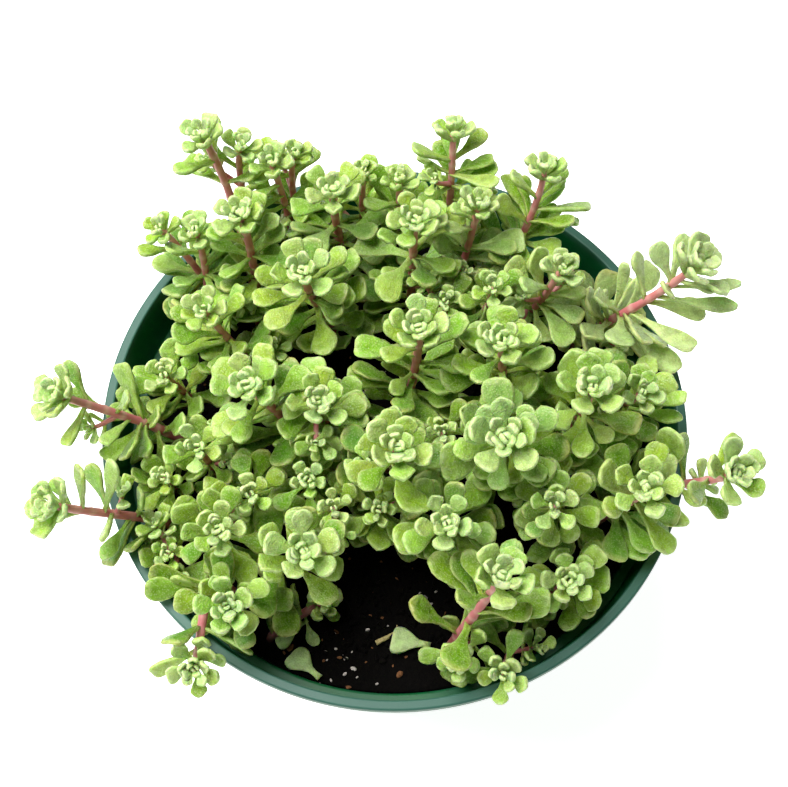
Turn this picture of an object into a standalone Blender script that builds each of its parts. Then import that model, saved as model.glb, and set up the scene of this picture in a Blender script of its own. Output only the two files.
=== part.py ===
"""Potted sedum: leafy shoots with red stems and a rosette of spoon-shaped leaves at each tip, in a green nursery pot.

Units are metres, +Z up. The origin is the centre of the pot's base, on the surface that it stands on.
Each leafy shoot is one solid: its stem, its leaves and its rosette's heart are grown together.
"""

import math
import random
from typing import NamedTuple

import bmesh
import bpy
from mathutils import Matrix, Vector
from mathutils.bvhtree import BVHTree
from mathutils.noise import noise

MM = 0.001

# The pot: a six-inch nursery pot with a flat lip, a deeper rim band, and a stacking ledge inside it.
RIM_RADIUS = 76.0 * MM
POT_HEIGHT = 108.0 * MM
BASE_RADIUS = 53.0 * MM
WALL = 1.4 * MM
LIP_WIDTH = 2.5 * MM
LIP_DEPTH = 2.6 * MM
BAND_DEPTH = 15.0 * MM
LEDGE_WIDTH = 2.6 * MM
POT_SIDES = 40
DRAIN_HOLES = 6
DRAIN_RADIUS = 4.5 * MM
DRAIN_CIRCLE = 38.0 * MM
LEDGE_RADIUS = RIM_RADIUS - LIP_WIDTH - 2.4 * MM  # inside the band, just above the ledge
BODY_RADIUS = LEDGE_RADIUS - LEDGE_WIDTH  # inside the body, just below the ledge

# The potting mix: it ends below the ledge and rises a little towards the middle.
GAP = 0.3 * MM
SOIL_DROP = 18.0 * MM
SOIL_MOUND = 5.0 * MM
SOIL_LUMP = 0.9 * MM
LUMP_SPACING = 9.0 * MM
HOLE_DEPTH = 6.0 * MM
HOLE_CLEARANCE = 1.0 * MM
HOLE_SIDES = 4

# Stems and leaves. A stem has five sides, and each side can carry a leaf at each ring.
STEM_BASE_RADIUS = 1.35 * MM
STEM_TIP_RADIUS = 1.0 * MM
SIDES = 5
SIDE_ANGLE = 2.0 * math.pi / SIDES
GOLDEN_ANGLE = math.radians(137.5)
LONGEST_STRETCH = 16.0 * MM  # of a stem between two rings
BUD_HEIGHT = 1.4 * MM
INNER_DROP = 0.3 * MM  # from the crown down to the inner leaves of a rosette
OUTER_DROP = 1.8 * MM  # and to its outer leaves
ROOT_THICKNESS = 1.0 * MM
WIDEST_AT = 0.78  # along a leaf
TIP_WIDTH = 0.66  # of a leaf's width
LEAF_CLEARANCE = 0.45 * MM
OWN_CLEARANCE = 0.15 * MM
CLEAR_FROM = 0.2  # of a leaf's length on, it has that clearance from its own shoot
PARTED_FROM = 0.04  # and from here on it crosses no leaf beside it
FOOT_MARGIN = 4.0 * MM
FOOT_STEP = 1.1 * MM
FOOT_SPACING = 5.2 * MM
SMALL_SPREAD = 13.5  # millimetres: a smaller rosette has a slimmer stem and fewer inner leaves
MOST_SPACING = 7.5 * MM  # between the pairs of leaves of a stem
PAIR_TWIST = math.radians(-13.0)  # two golden angles, less four sides of the stem
LEAST_STEM_LEAF = 7.0 * MM
STEM_LEAF_SHARE = 0.7  # of the rosette's radius, on top of that
OLDER_GROWTH = 0.08  # of its length, that a leaf gains over the pair above it

# The picture that the shoots were read from is 788 x 787 pixels, and looks down on the rim from the front.
PICTURE_CENTRE = (394.0, 393.5)
PICTURE_FOCUS = 1449.0  # distance from the eye to the picture, in pixels
EYE_DISTANCE = 380.0 * MM
EYE_ELEVATION = math.radians(65.7)
AIM = Vector((-0.2 * MM, 7.1 * MM, POT_HEIGHT))


class Shoot(NamedTuple):
    """A leafy shoot as the picture shows it. Pixels for places, millimetres for sizes."""

    name: str
    crown: tuple  # the heart of the rosette, in pixels
    height: float  # of the crown above the rim, in millimetres
    faces: tuple  # how far the rosette is turned to the right and to the top: (0, 0) looks at the eye
    foot: tuple  # where the stem leaves the soil, in pixels
    spread: float  # across the rosette, in millimetres
    pairs: int  # of leaves along the stem, below the rosette


SHOOTS = (
    Shoot("shoot_back_1", (203, 137), 38, (-0.35, 0.60), (255, 292), 14, 3),
    Shoot("shoot_back_2", (240, 147), 33, (0.10, 0.55), (272, 282), 12, 3),
    Shoot("shoot_back_3", (271, 163), 32, (-0.25, 0.60), (296, 268), 13, 3),
    Shoot("shoot_back_4", (294, 154), 28, (0.15, 0.70), (312, 250), 11, 2),
    Shoot("shoot_back_5", (333, 191), 36, (0.00, 0.45), (350, 292), 16, 3),
    Shoot("shoot_back_6", (363, 172), 28, (0.05, 0.65), (368, 252), 9, 2),
    Shoot("shoot_back_7", (399, 180), 30, (0.00, 0.75), (404, 262), 11, 3),
    Shoot("shoot_back_8", (453, 131), 40, (0.00, 0.90), (442, 262), 13, 4),
    Shoot("shoot_back_9", (545, 170), 38, (0.15, 0.82), (492, 290), 13, 4),
    Shoot("shoot_back_10", (414, 222), 38, (0.00, 0.42), (409, 338), 16, 3),
    Shoot("shoot_back_11", (478, 206), 35, (0.12, 0.65), (450, 312), 13, 3),
    Shoot("shoot_left_1", (240, 216), 37, (-0.20, 0.50), (262, 338), 15, 3),
    Shoot("shoot_left_2", (161, 229), 26, (-0.50, 0.50), (220, 312), 11, 3),
    Shoot("shoot_left_3", (196, 232), 27, (-0.20, 0.55), (212, 338), 12, 3),
    Shoot("shoot_left_4", (205, 311), 31, (-0.25, 0.35), (270, 396), 13, 3),
    Shoot("shoot_left_5", (60, 396), 22, (-0.66, 0.20), (194, 452), 17, 4),
    Shoot("shoot_left_6", (54, 506), 20, (-0.66, 0.12), (184, 532), 17, 4),
    Shoot("shoot_left_7", (218, 530), 25, (-0.05, 0.08), (226, 548), 14, 3),
    Shoot("shoot_middle_1", (302, 273), 38, (-0.10, 0.35), (338, 350), 17, 3),
    Shoot("shoot_middle_2", (419, 331), 41, (0.00, 0.42), (404, 430), 17, 4),
    Shoot("shoot_middle_3", (502, 342), 41, (0.00, 0.38), (500, 424), 17, 4),
    Shoot("shoot_middle_4", (505, 438), 42, (0.00, 0.14), (512, 470), 20, 4),
    Shoot("shoot_middle_5", (397, 449), 40, (0.05, 0.25), (388, 482), 18, 4),
    Shoot("shoot_middle_6", (249, 388), 37, (-0.28, 0.22), (318, 470), 18, 4),
    Shoot("shoot_middle_7", (318, 403), 33, (0.12, 0.32), (338, 436), 15, 3),
    Shoot("shoot_right_1", (561, 270), 30, (0.30, 0.55), (516, 338), 13, 3),
    Shoot("shoot_right_2", (693, 268), 31, (0.60, 0.50), (572, 352), 20, 5),
    Shoot("shoot_right_3", (592, 389), 37, (0.12, 0.40), (560, 448), 18, 4),
    Shoot("shoot_right_4", (641, 394), 24, (0.35, 0.25), (612, 418), 13, 3),
    Shoot("shoot_right_5", (645, 489), 29, (0.12, 0.18), (590, 530), 17, 4),
    Shoot("shoot_right_6", (732, 474), 20, (0.50, 0.18), (612, 500), 18, 4),
    Shoot("shoot_front_1", (303, 551), 32, (0.05, 0.10), (272, 584), 18, 4),
    Shoot("shoot_front_2", (226, 606), 22, (0.00, 0.02), (246, 600), 15, 3),
    Shoot("shoot_front_3", (195, 666), 7, (-0.10, -0.35), (222, 596), 15, 4),
    Shoot("shoot_front_4", (500, 578), 33, (0.25, 0.40), (446, 656), 18, 4),
    Shoot("shoot_front_5", (503, 675), 5, (0.00, -0.15), (514, 650), 13, 2),
    Shoot("shoot_front_6", (458, 660), 4, (-0.25, -0.20), (476, 636), 12, 3),
    Shoot("shoot_front_7", (554, 506), 31, (0.05, 0.12), (560, 520), 13, 3),
    Shoot("shoot_front_8", (446, 523), 32, (0.00, 0.06), (446, 534), 15, 3),
    Shoot("sprig_1", (492, 288), 28, (0.00, 0.40), (468, 338), 11, 2),
    Shoot("sprig_2", (446, 302), 22, (0.00, 0.30), (440, 322), 10, 1),
    Shoot("sprig_3", (442, 433), 24, (0.00, 0.05), (446, 444), 9, 1),
    Shoot("sprig_4", (308, 480), 22, (0.00, 0.10), (314, 494), 10, 1),
    Shoot("sprig_5", (250, 494), 20, (0.00, 0.05), (262, 508), 11, 2),
    Shoot("sprig_6", (165, 376), 12, (-0.20, 0.20), (196, 408), 12, 1),
    Shoot("sprig_7", (197, 448), 16, (-0.10, 0.10), (222, 484), 13, 2),
    Shoot("sprig_8", (164, 478), 8, (-0.20, 0.10), (178, 490), 9, 1),
    Shoot("sprig_9", (168, 553), 4, (-0.15, 0.00), (180, 560), 9, 1),
    Shoot("sprig_10", (379, 510), 20, (0.00, 0.05), (382, 520), 9, 1),
    Shoot("sprig_11", (568, 580), 14, (0.10, 0.05), (568, 584), 14, 2),
    Shoot("sprig_12", (334, 508), 20, (0.05, 0.10), (338, 520), 9, 1),
    Shoot("sprig_13", (322, 603), -7, (0.30, 0.20), (270, 637), 10, 1),
)

# Two dropped leaves lie on the bare soil at the front: the pixel of the root, and of the tip.
DROPPED_LEAVES = {"dropped_leaf_1": ((318, 676), (293, 652)), "dropped_leaf_2": ((428, 646), (392, 638))}
DROPPED_WIDTH = 7.0 * MM
DROPPED_THICKNESS = 1.4 * MM


class Leaf(NamedTuple):
    """A spoon-shaped leaf: three unit directions at its root, and its sizes in metres."""

    root: Vector
    along: Vector
    across: Vector
    face: Vector
    length: float
    width: float
    thickness: float
    bend: float  # how far the tip rises, as a share of the length
    cup: float  # how far the edges rise, as a share of the half width


def sight_line(pixel):
    """The eye, and the unit direction in which it sees a pixel of the picture."""
    back = Vector((0.0, -math.cos(EYE_ELEVATION), math.sin(EYE_ELEVATION)))
    up = Vector((0.0, math.sin(EYE_ELEVATION), math.cos(EYE_ELEVATION)))
    right = Vector((1.0, 0.0, 0.0))
    across = (pixel[0] - PICTURE_CENTRE[0]) / PICTURE_FOCUS
    above = (PICTURE_CENTRE[1] - pixel[1]) / PICTURE_FOCUS
    return AIM + EYE_DISTANCE * back, (right * across + up * above - back).normalized()


def seen_at(pixel, z):
    """The point at height z that the picture shows at this pixel."""
    eye, direction = sight_line(pixel)
    return eye + direction * ((z - eye.z) / direction.z)


def facing(pixel, faces):
    """The unit direction of a rosette's axis, from how it is turned in the picture."""
    towards_eye = -sight_line(pixel)[1]
    right = Vector((1.0, 0.0, 0.0))
    up = towards_eye.cross(right).normalized()
    depth = math.sqrt(max(0.0, 1.0 - faces[0] ** 2 - faces[1] ** 2))
    return (right * faces[0] + up * faces[1] + towards_eye * depth).normalized()


def soil_height(x, y):
    """The top of the potting mix: a low mound with lumps."""
    share = min(1.0, math.hypot(x, y) / BODY_RADIUS)
    lumps = noise(Vector((x / LUMP_SPACING, y / LUMP_SPACING, 0.0))) * (1.0 - share**4)
    return POT_HEIGHT - SOIL_DROP + SOIL_MOUND * (1.0 - share**2) + SOIL_LUMP * lumps


def inner_radius(z):
    """The radius inside the pot's body at height z, below the ledge."""
    bottom = BASE_RADIUS - WALL
    return bottom + (BODY_RADIUS - bottom) * (z - WALL) / (POT_HEIGHT - BAND_DEPTH - WALL)


def material(name, colour, roughness):
    made = bpy.data.materials.new(name)
    made.use_nodes = True
    shader = made.node_tree.nodes["Principled BSDF"]
    shader.inputs["Base Color"].default_value = (*colour, 1.0)
    shader.inputs["Roughness"].default_value = roughness
    made.diffuse_color = (*colour, 1.0)
    return made


def placed_mesh(name, points, faces, *materials):
    """A new object in the scene, from world points and faces."""
    mesh = bpy.data.meshes.new(name)
    mesh.from_pydata([tuple(p) for p in points], [], faces)
    for one in materials:
        mesh.materials.append(one)
    obj = bpy.data.objects.new(name, mesh)
    bpy.context.scene.collection.objects.link(obj)
    return obj


def mesh_of(obj):
    return [v.co.copy() for v in obj.data.vertices], [tuple(p.vertices) for p in obj.data.polygons]


def tube_faces(rings, sides):
    """Faces of a closed tube of rings, each of the same number of points, with flat ends."""
    faces = [tuple(reversed(range(sides)))]
    for ring in range(rings - 1):
        low, high = ring * sides, (ring + 1) * sides
        for i in range(sides):
            j = (i + 1) % sides
            faces.append((low + i, low + j, high + j, high + i))
    faces.append(tuple(range((rings - 1) * sides, rings * sides)))
    return faces


def triangles(faces):
    return [(face[0], face[i], face[i + 1]) for face in faces for i in range(1, len(face) - 1)]


def lathe(name, profile, sides, *materials):
    """Turns a profile of (radius, height) that starts and ends on the axis."""
    centre_low, *rim, centre_high = profile
    points, turn = [], 2.0 * math.pi / sides
    for radius, z in rim:
        points += [Vector((radius * math.cos(i * turn), radius * math.sin(i * turn), z)) for i in range(sides)]
    faces = tube_faces(len(rim), sides)[1:-1]
    for (_, z), ring, turned in ((centre_low, 0, True), (centre_high, len(rim) - 1, False)):
        centre, first = len(points), ring * sides
        points.append(Vector((0.0, 0.0, z)))
        for i in range(sides):
            edge = (first + i, first + (i + 1) % sides)
            faces.append((centre, *(reversed(edge) if turned else edge)))
    return placed_mesh(name, points, faces, *materials)


def cut(obj, cutter):
    """Subtracts a cutter from an object, and removes the cutter."""
    modifier = obj.modifiers.new("cut", "BOOLEAN")
    modifier.operation = "DIFFERENCE"
    modifier.object = cutter
    graph = bpy.context.evaluated_depsgraph_get()
    obj.data = bpy.data.meshes.new_from_object(obj.evaluated_get(graph))
    obj.modifiers.clear()
    bpy.data.objects.remove(cutter)


def prisms(name, axes, radius, sides):
    """One mesh of upright prisms, one for each (foot, top) pair of points."""
    points, faces = [], []
    for foot, top in axes:
        first = len(points)
        for centre in (foot, top):
            for i in range(sides):
                turn = 2.0 * math.pi * i / sides
                points.append(centre + Vector((radius * math.cos(turn), radius * math.sin(turn), 0.0)))
        faces += [tuple(first + i for i in face) for face in tube_faces(2, sides)]
    return placed_mesh(name, points, faces)


def build_pot(plastic):
    band_foot = POT_HEIGHT - BAND_DEPTH
    lip_under = POT_HEIGHT - LIP_DEPTH
    inside_lip = RIM_RADIUS - LIP_WIDTH
    profile = (
        (0.0, 0.0),
        (BASE_RADIUS, 0.0),
        (BODY_RADIUS + WALL, band_foot - 2.0 * WALL),
        (LEDGE_RADIUS + WALL, band_foot - WALL),
        (inside_lip + WALL, lip_under),
        (RIM_RADIUS, lip_under),
        (RIM_RADIUS, POT_HEIGHT),
        (inside_lip, POT_HEIGHT),
        (LEDGE_RADIUS, band_foot),
        (BODY_RADIUS, band_foot),
        (BASE_RADIUS - WALL, WALL),
        (0.0, WALL),
    )
    pot = lathe("pot", profile, POT_SIDES, plastic)
    drains = []
    for i in range(DRAIN_HOLES):
        turn = 2.0 * math.pi * (i + 0.5) / DRAIN_HOLES
        centre = Vector((DRAIN_CIRCLE * math.cos(turn), DRAIN_CIRCLE * math.sin(turn), 0.0))
        drains.append((centre - Vector((0, 0, WALL)), centre + Vector((0, 0, 2.0 * WALL))))
    cut(pot, prisms("drain_cutter", drains, DRAIN_RADIUS, 8))
    return pot


def build_soil(mix, feet):
    """The root ball of potting mix, with a plain hole for each stem."""
    edge = soil_height(BODY_RADIUS, 0.0)
    profile = [
        (0.0, WALL + GAP),
        (BASE_RADIUS - WALL - 2.0 * GAP, WALL + GAP),
        (inner_radius(edge) - GAP, edge),
    ]
    profile += [(share * BODY_RADIUS, edge) for share in (0.84, 0.62, 0.36)]
    profile.append((0.0, edge))
    soil = lathe("soil", profile, POT_SIDES, mix)
    for vertex in soil.data.vertices:
        if vertex.co.z > edge - GAP:
            vertex.co.z = soil_height(vertex.co.x, vertex.co.y)
    surface = bmesh.new()
    surface.from_mesh(soil.data)
    bmesh.ops.triangulate(surface, faces=surface.faces)
    surface.to_mesh(soil.data)
    surface.free()
    holes = [(foot - Vector((0, 0, HOLE_DEPTH)), foot + Vector((0, 0, HOLE_DEPTH))) for foot in feet]
    cut(soil, prisms("hole_cutter", holes, STEM_BASE_RADIUS + HOLE_CLEARANCE, HOLE_SIDES))
    return soil


def leaf_blade(leaf, extra=0.0):
    """The widest section of a leaf, four points from its right edge over the face, and its blunt tip."""

    def at(u, x, z):
        rise = leaf.bend * leaf.length * u * u
        return leaf.root + leaf.along * (leaf.length * u) + leaf.across * x + leaf.face * (rise + z)

    half_width = 0.5 * leaf.width + extra
    half_thick = 0.5 * leaf.thickness + extra
    half_tip = TIP_WIDTH * half_width
    edge_rise = leaf.cup * half_width
    tip = 1.0 + extra / leaf.length
    return [
        at(WIDEST_AT, half_width, edge_rise),
        at(WIDEST_AT, 0.0, half_thick),
        at(WIDEST_AT, -half_width, edge_rise),
        at(WIDEST_AT, 0.0, -half_thick),
        at(tip, half_tip, leaf.cup * half_tip),
        at(tip, -half_tip, leaf.cup * half_tip),
    ]


def leaf_faces(root, blade):
    """Faces from a root's four points to a blade's six."""
    right, top, left, under, tip_right, tip_left = blade
    faces = [(root[i], root[(i + 1) % 4], blade[(i + 1) % 4], blade[i]) for i in range(4)]
    faces += [(right, top, tip_right), (top, tip_left, tip_right), (top, left, tip_left)]
    faces += [(left, under, tip_left), (under, tip_right, tip_left), (under, right, tip_right)]
    return faces


def leaf_guard(leaf, extra, start=0.0):
    """A closed leaf that is larger all round by extra, from a share of its length on."""
    grown = start / WIDEST_AT
    half_root = 0.5 * (ROOT_THICKNESS + (leaf.width - ROOT_THICKNESS) * grown) + extra
    half_thick = 0.5 * (ROOT_THICKNESS + (leaf.thickness - ROOT_THICKNESS) * grown) + extra
    foot = leaf.root + leaf.along * (leaf.length * start)
    points = [
        foot + leaf.across * half_root,
        foot + leaf.face * half_thick,
        foot - leaf.across * half_root,
        foot - leaf.face * half_thick,
    ]
    points += leaf_blade(leaf, extra)
    return points, [(3, 2, 1, 0)] + leaf_faces((0, 1, 2, 3), range(4, 10))


def bezier(p0, p1, p2, p3, t):
    s = 1.0 - t
    return p0 * s**3 + p1 * 3 * s * s * t + p2 * 3 * s * t * t + p3 * t**3


class Stem:
    """A stem's line from the soil to the crown, and the rings of points round it."""

    def __init__(self, foot, crown, axis, rise, slender, turn):
        reach = (crown - foot).length
        self.foot, self.crown, self.axis, self.slender, self.turn = foot, crown, axis, slender, turn
        self.control = (foot, foot + Vector((0.0, 0.0, rise * reach)), crown - axis * (0.42 * reach), crown)
        self.length = sum((self.at(i / 20) - self.at((i + 1) / 20)).length for i in range(20))

    def at(self, t):
        return bezier(*self.control, t)

    def along(self, t):
        return (self.at(min(1.0, t + 0.01)) - self.at(max(0.0, t - 0.01))).normalized()

    def below_crown(self, distance):
        """The share of the stem that lies this far under the crown."""
        return max(0.0, 1.0 - distance / self.length)

    def radius(self, t):
        return self.slender * (STEM_BASE_RADIUS + (STEM_TIP_RADIUS - STEM_BASE_RADIUS) * t)

    def frame(self, t, twist=0.0):
        """The directions along the stem and out to its first corner, with no twist of its own."""
        ahead, side = self.along(0.0), Vector((math.cos(self.turn), math.sin(self.turn), 0.0))
        for i in range(1, 13):
            ahead = self.along(t * i / 12)
            side = (side - ahead * side.dot(ahead)).normalized()
        return ahead, Matrix.Rotation(twist, 3, ahead) @ side

    def ring(self, t, twist=0.0, drop=0.0, extra=0.0):
        """The corners of the stem at share t, or lower by drop."""
        ahead, side = self.frame(t, twist)
        centre = self.at(t) - Vector((0.0, 0.0, drop))
        radius = self.radius(t) + extra
        return [centre + Matrix.Rotation(k * SIDE_ANGLE, 3, ahead) @ side * radius for k in range(SIDES)]

    def guard(self, extra):
        """The bare stem, larger all round by extra."""
        points = self.ring(0.0, drop=HOLE_DEPTH - GAP, extra=extra)
        for i in range(6):
            points += self.ring(i / 5, extra=extra)
        return points, tube_faces(7, SIDES)


class Whorl(NamedTuple):
    """A ring of the stem that carries leaves, with the wished leaf for each of some sides."""

    t: float
    twist: float
    wishes: dict


def leaf_on(stem, whorl, side, turn, pitch, length, width, thickness, bend, cup):
    """A leaf on one side of the stem, swung sideways by turn, and leaning from the stem by pitch."""
    ring = stem.ring(whorl.t, whorl.twist)
    root = (ring[side] + ring[(side + 1) % SIDES]) * 0.5
    ahead = stem.along(whorl.t)
    out = Matrix.Rotation(turn, 3, ahead) @ (root - stem.at(whorl.t)).normalized()
    along = (ahead * math.cos(pitch) + out * math.sin(pitch)).normalized()
    across = ahead.cross(out).normalized()
    return Leaf(root, along, across, along.cross(across), length, width, thickness, bend, cup)


def leaf_root(stem, whorl, side):
    """The four points of the stem's side that a leaf grows from, in the order of its widest section."""
    ring = stem.ring(whorl.t, whorl.twist)
    left, right = ring[(side + 1) % SIDES], ring[side]
    middle, rise = (left + right) * 0.5, stem.along(whorl.t) * (0.5 * ROOT_THICKNESS)
    return left, middle + rise, right, middle - rise


def parted_leaf(stem, whorl, side, leaf):
    """The leaf as it is built, but for the very root that it shares with the leaves beside it."""
    blade = leaf_blade(leaf)
    foot = [point + (blade[i] - point) * PARTED_FROM for i, point in enumerate(leaf_root(stem, whorl, side))]
    return foot + blade, [(3, 2, 1, 0)] + leaf_faces((0, 1, 2, 3), range(4, 10))


def with_bare_rings(stem, whorls, leaves):
    """The leafy whorls from the foot upwards, with bare rings between those that are far apart."""
    t, twist = 0.0, 0.0
    leafy = [whorl for whorl in whorls if any((whorl.t, side) in leaves for side in whorl.wishes)]
    for whorl in sorted(leafy, key=lambda one: one.t):
        count = math.floor((whorl.t - t) * stem.length / LONGEST_STRETCH)
        for i in range(1, count + 1):
            share = i / (count + 1)
            yield Whorl(t + (whorl.t - t) * share, twist + (whorl.twist - twist) * share, {})
        yield whorl
        t, twist = whorl.t, whorl.twist


def shoot_mesh(stem, whorls, leaves):
    """The stem with its bud and leaves as one closed surface. Gives points, faces and a material for each."""
    points, faces, kinds = [], [], []

    def add(new):
        points.extend(new)
        return list(range(len(points) - len(new), len(points)))

    rings = [(add(stem.ring(0.0, drop=HOLE_DEPTH - GAP)), {}), (add(stem.ring(0.0)), {})]
    for whorl in with_bare_rings(stem, whorls, leaves):
        corners, roots = add(stem.ring(whorl.t, whorl.twist)), {}
        for side in whorl.wishes:
            leaf = leaves.get((whorl.t, side))
            if leaf:
                left, right = corners[(side + 1) % SIDES], corners[side]
                top, under = add(leaf_root(stem, whorl, side)[1::2])
                roots[side] = (top, under)
                facing_out = leaf_faces((left, top, right, under), add(leaf_blade(leaf)))
                faces += facing_out
                kinds += [1] * len(facing_out)
        rings.append((corners, roots))
    for (low, low_roots), (high, high_roots) in zip(rings, rings[1:]):
        for k in range(SIDES):
            j = (k + 1) % SIDES
            face = [low[k], *([low_roots[k][0]] if k in low_roots else []), low[j]]
            face += [high[j], *([high_roots[k][1]] if k in high_roots else []), high[k]]
            faces.append(tuple(face))
            kinds.append(0)
    apex = add([stem.crown + stem.axis * BUD_HEIGHT])[0]
    last, last_roots = rings[-1]
    for k in range(SIDES):
        j = (k + 1) % SIDES
        faces.append((last[k], *([last_roots[k][0]] if k in last_roots else []), last[j], apex))
        kinds.append(1)
    faces.append(tuple(reversed(rings[0][0])))
    kinds.append(0)
    return points, faces, kinds


class Clearance:
    """Every piece placed so far, to keep the shoots from crossing each other."""

    def __init__(self):
        self.placed = []

    @staticmethod
    def box(points):
        low = Vector([min(p[k] for p in points) for k in range(3)])
        high = Vector([max(p[k] for p in points) for k in range(3)])
        return low, high

    def add(self, owner, points, faces):
        tree = BVHTree.FromPolygons(points, triangles(faces))
        self.placed.append((owner, *self.box(points), tree))

    def free(self, owner, points, faces):
        """Whether a piece is clear of every other shoot, the pot and the soil."""
        return self.clear_of(points, faces, lambda other: other != owner)

    def own_free(self, owner, points, faces):
        """Whether a piece is clear of the rest of its own shoot."""
        return self.clear_of(points, faces, lambda other: other == owner)

    def clear_of(self, points, faces, counts):
        low, high = self.box(points)
        near = [
            tree
            for other, other_low, other_high, tree in self.placed
            if counts(other) and all(low[k] < other_high[k] and high[k] > other_low[k] for k in range(3))
        ]
        if not near:
            return True
        guard = BVHTree.FromPolygons(points, triangles(faces))
        return not any(guard.overlap(tree) for tree in near)


def rosette(shoot, stem, draw):
    """The inner and outer leaves of the rosette, as rings of the stem with the leaves wished for there."""
    reach = 0.5 * shoot.spread * MM
    sides = range(SIDES) if shoot.spread >= SMALL_SPREAD else range(0, SIDES, 2)
    inner = {
        side: dict(
            turn=draw.uniform(-0.08, 0.08),
            pitch=math.radians(draw.uniform(29, 40)),
            length=reach * draw.uniform(0.62, 0.76),
            width=reach * draw.uniform(0.38, 0.44),
            thickness=1.4 * MM,
            bend=draw.uniform(0.00, 0.08),
            cup=draw.uniform(0.25, 0.45),
        )
        for side in sides
    }
    outer = {
        side: dict(
            turn=draw.uniform(-0.16, 0.16),
            pitch=math.radians(draw.uniform(46, 68)),
            length=reach * draw.uniform(0.88, 1.08),
            width=reach * draw.uniform(0.58, 0.70),
            thickness=draw.uniform(1.6, 2.1) * MM,
            bend=draw.uniform(-0.02, 0.14),
            cup=draw.uniform(0.20, 0.45),
        )
        for side in range(SIDES)
    }
    twist = draw.uniform(0.0, SIDE_ANGLE)
    yield Whorl(stem.below_crown(INNER_DROP), twist + 0.5 * SIDE_ANGLE, inner)
    yield Whorl(stem.below_crown(OUTER_DROP), twist, outer)


def stem_leaves(shoot, stem, draw):
    """The pairs of leaves down the stem."""
    reach = 0.5 * shoot.spread * MM
    spacing = min(MOST_SPACING, (stem.length - OUTER_DROP) * 0.85 / (shoot.pairs + 0.5))
    for i in range(shoot.pairs):
        wishes = {}
        for side in ((4 * i) % SIDES, (4 * i + 2) % SIDES):
            length = (LEAST_STEM_LEAF + STEM_LEAF_SHARE * reach) * draw.uniform(0.84, 1.02) * (1.0 + OLDER_GROWTH * i)
            wishes[side] = dict(
                turn=draw.uniform(-0.25, 0.25),
                pitch=math.radians(draw.uniform(54, 80)),
                length=length,
                width=length * draw.uniform(0.43, 0.52),
                thickness=draw.uniform(1.5, 1.9) * MM,
                bend=draw.uniform(-0.02, 0.14),
                cup=draw.uniform(0.05, 0.25),
            )
        yield Whorl(stem.below_crown(OUTER_DROP + spacing * (i + 0.7)), PAIR_TWIST * (i + 1), wishes)


# What a leaf tries in turn where it would cross another: turn and pitch in degrees, and its size.
WAYS_ROUND = [
    (turn, pitch, share)
    for share in (1.0, 0.88, 0.74)
    for pitch in (0, 12, -12, 24, -24)
    for turn in (0, 9, -9, 18, -18)
]


def settled_leaf(owner, stem, whorl, side, clearance, parting):
    """The leaf nearest to the wished one that crosses nothing, or None."""
    for turn, pitch, share in WAYS_ROUND:
        moved = dict(whorl.wishes[side])
        moved["turn"] += math.radians(turn)
        moved["pitch"] += math.radians(pitch)
        moved["length"] *= share
        moved["width"] *= share
        leaf = leaf_on(stem, whorl, side, **moved)
        others_clear = clearance.free(owner, *leaf_guard(leaf, LEAF_CLEARANCE))
        own_clear = others_clear and clearance.own_free(owner, *leaf_guard(leaf, OWN_CLEARANCE, CLEAR_FROM))
        if own_clear and parting.own_free(owner, *parted_leaf(stem, whorl, side, leaf)):
            return leaf
    return None


def settled_stem(shoot, draw, clearance, feet):
    """The stem of a shoot, its foot moved a little where it would cross another stem."""
    crown = seen_at(shoot.crown, POT_HEIGHT + shoot.height * MM)
    axis = facing(shoot.crown, shoot.faces)
    spot = seen_at(shoot.foot, POT_HEIGHT - SOIL_DROP + 0.5 * SOIL_MOUND)
    slender = 1.0 if shoot.spread >= SMALL_SPREAD else 0.85
    first_turn = draw.uniform(0.0, SIDE_ANGLE)
    for step in range(90):
        turn, away = step * GOLDEN_ANGLE, FOOT_STEP * math.sqrt(step)
        x, y = spot.x + away * math.cos(turn), spot.y + away * math.sin(turn)
        shrink = min(1.0, (BODY_RADIUS - FOOT_MARGIN) / math.hypot(x, y))
        foot = Vector((x * shrink, y * shrink, soil_height(x * shrink, y * shrink)))
        if any((foot - other).length < FOOT_SPACING for other in feet):
            continue
        for rise in (0.3, 0.5, 0.8, 1.1):
            stem = Stem(foot, crown, axis, rise, slender, first_turn)
            if clearance.free(shoot.name, *stem.guard(LEAF_CLEARANCE)):
                return stem
    raise ValueError(f"no clear place for the stem of {shoot.name}")


def settled_shoots(clearance, build_soil_round):
    """Every shoot's stem, its leafy rings, and the leaves that found a clear place."""
    stems, whorls, leaves, parting = {}, {}, {}, Clearance()
    draws = {shoot.name: random.Random(number) for number, shoot in enumerate(SHOOTS)}
    for shoot in SHOOTS:
        feet = [stem.foot for stem in stems.values()]
        stems[shoot.name] = settled_stem(shoot, draws[shoot.name], clearance, feet)
        clearance.add(shoot.name, *stems[shoot.name].guard(0.0))
    build_soil_round([stem.foot for stem in stems.values()])
    for shoot in SHOOTS:
        stem, draw = stems[shoot.name], draws[shoot.name]
        whorls[shoot.name] = [*rosette(shoot, stem, draw), *stem_leaves(shoot, stem, draw)]
        leaves[shoot.name] = {}
    for layer in range(max(len(rings) for rings in whorls.values())):
        for shoot in SHOOTS:
            for whorl in whorls[shoot.name][layer : layer + 1]:
                for side in whorl.wishes:
                    stem = stems[shoot.name]
                    leaf = settled_leaf(shoot.name, stem, whorl, side, clearance, parting)
                    if leaf:
                        clearance.add(shoot.name, *leaf_guard(leaf, 0.0))
                        parting.add(shoot.name, *parted_leaf(stem, whorl, side, leaf))
                        leaves[shoot.name][whorl.t, side] = leaf
    return stems, whorls, leaves


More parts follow.
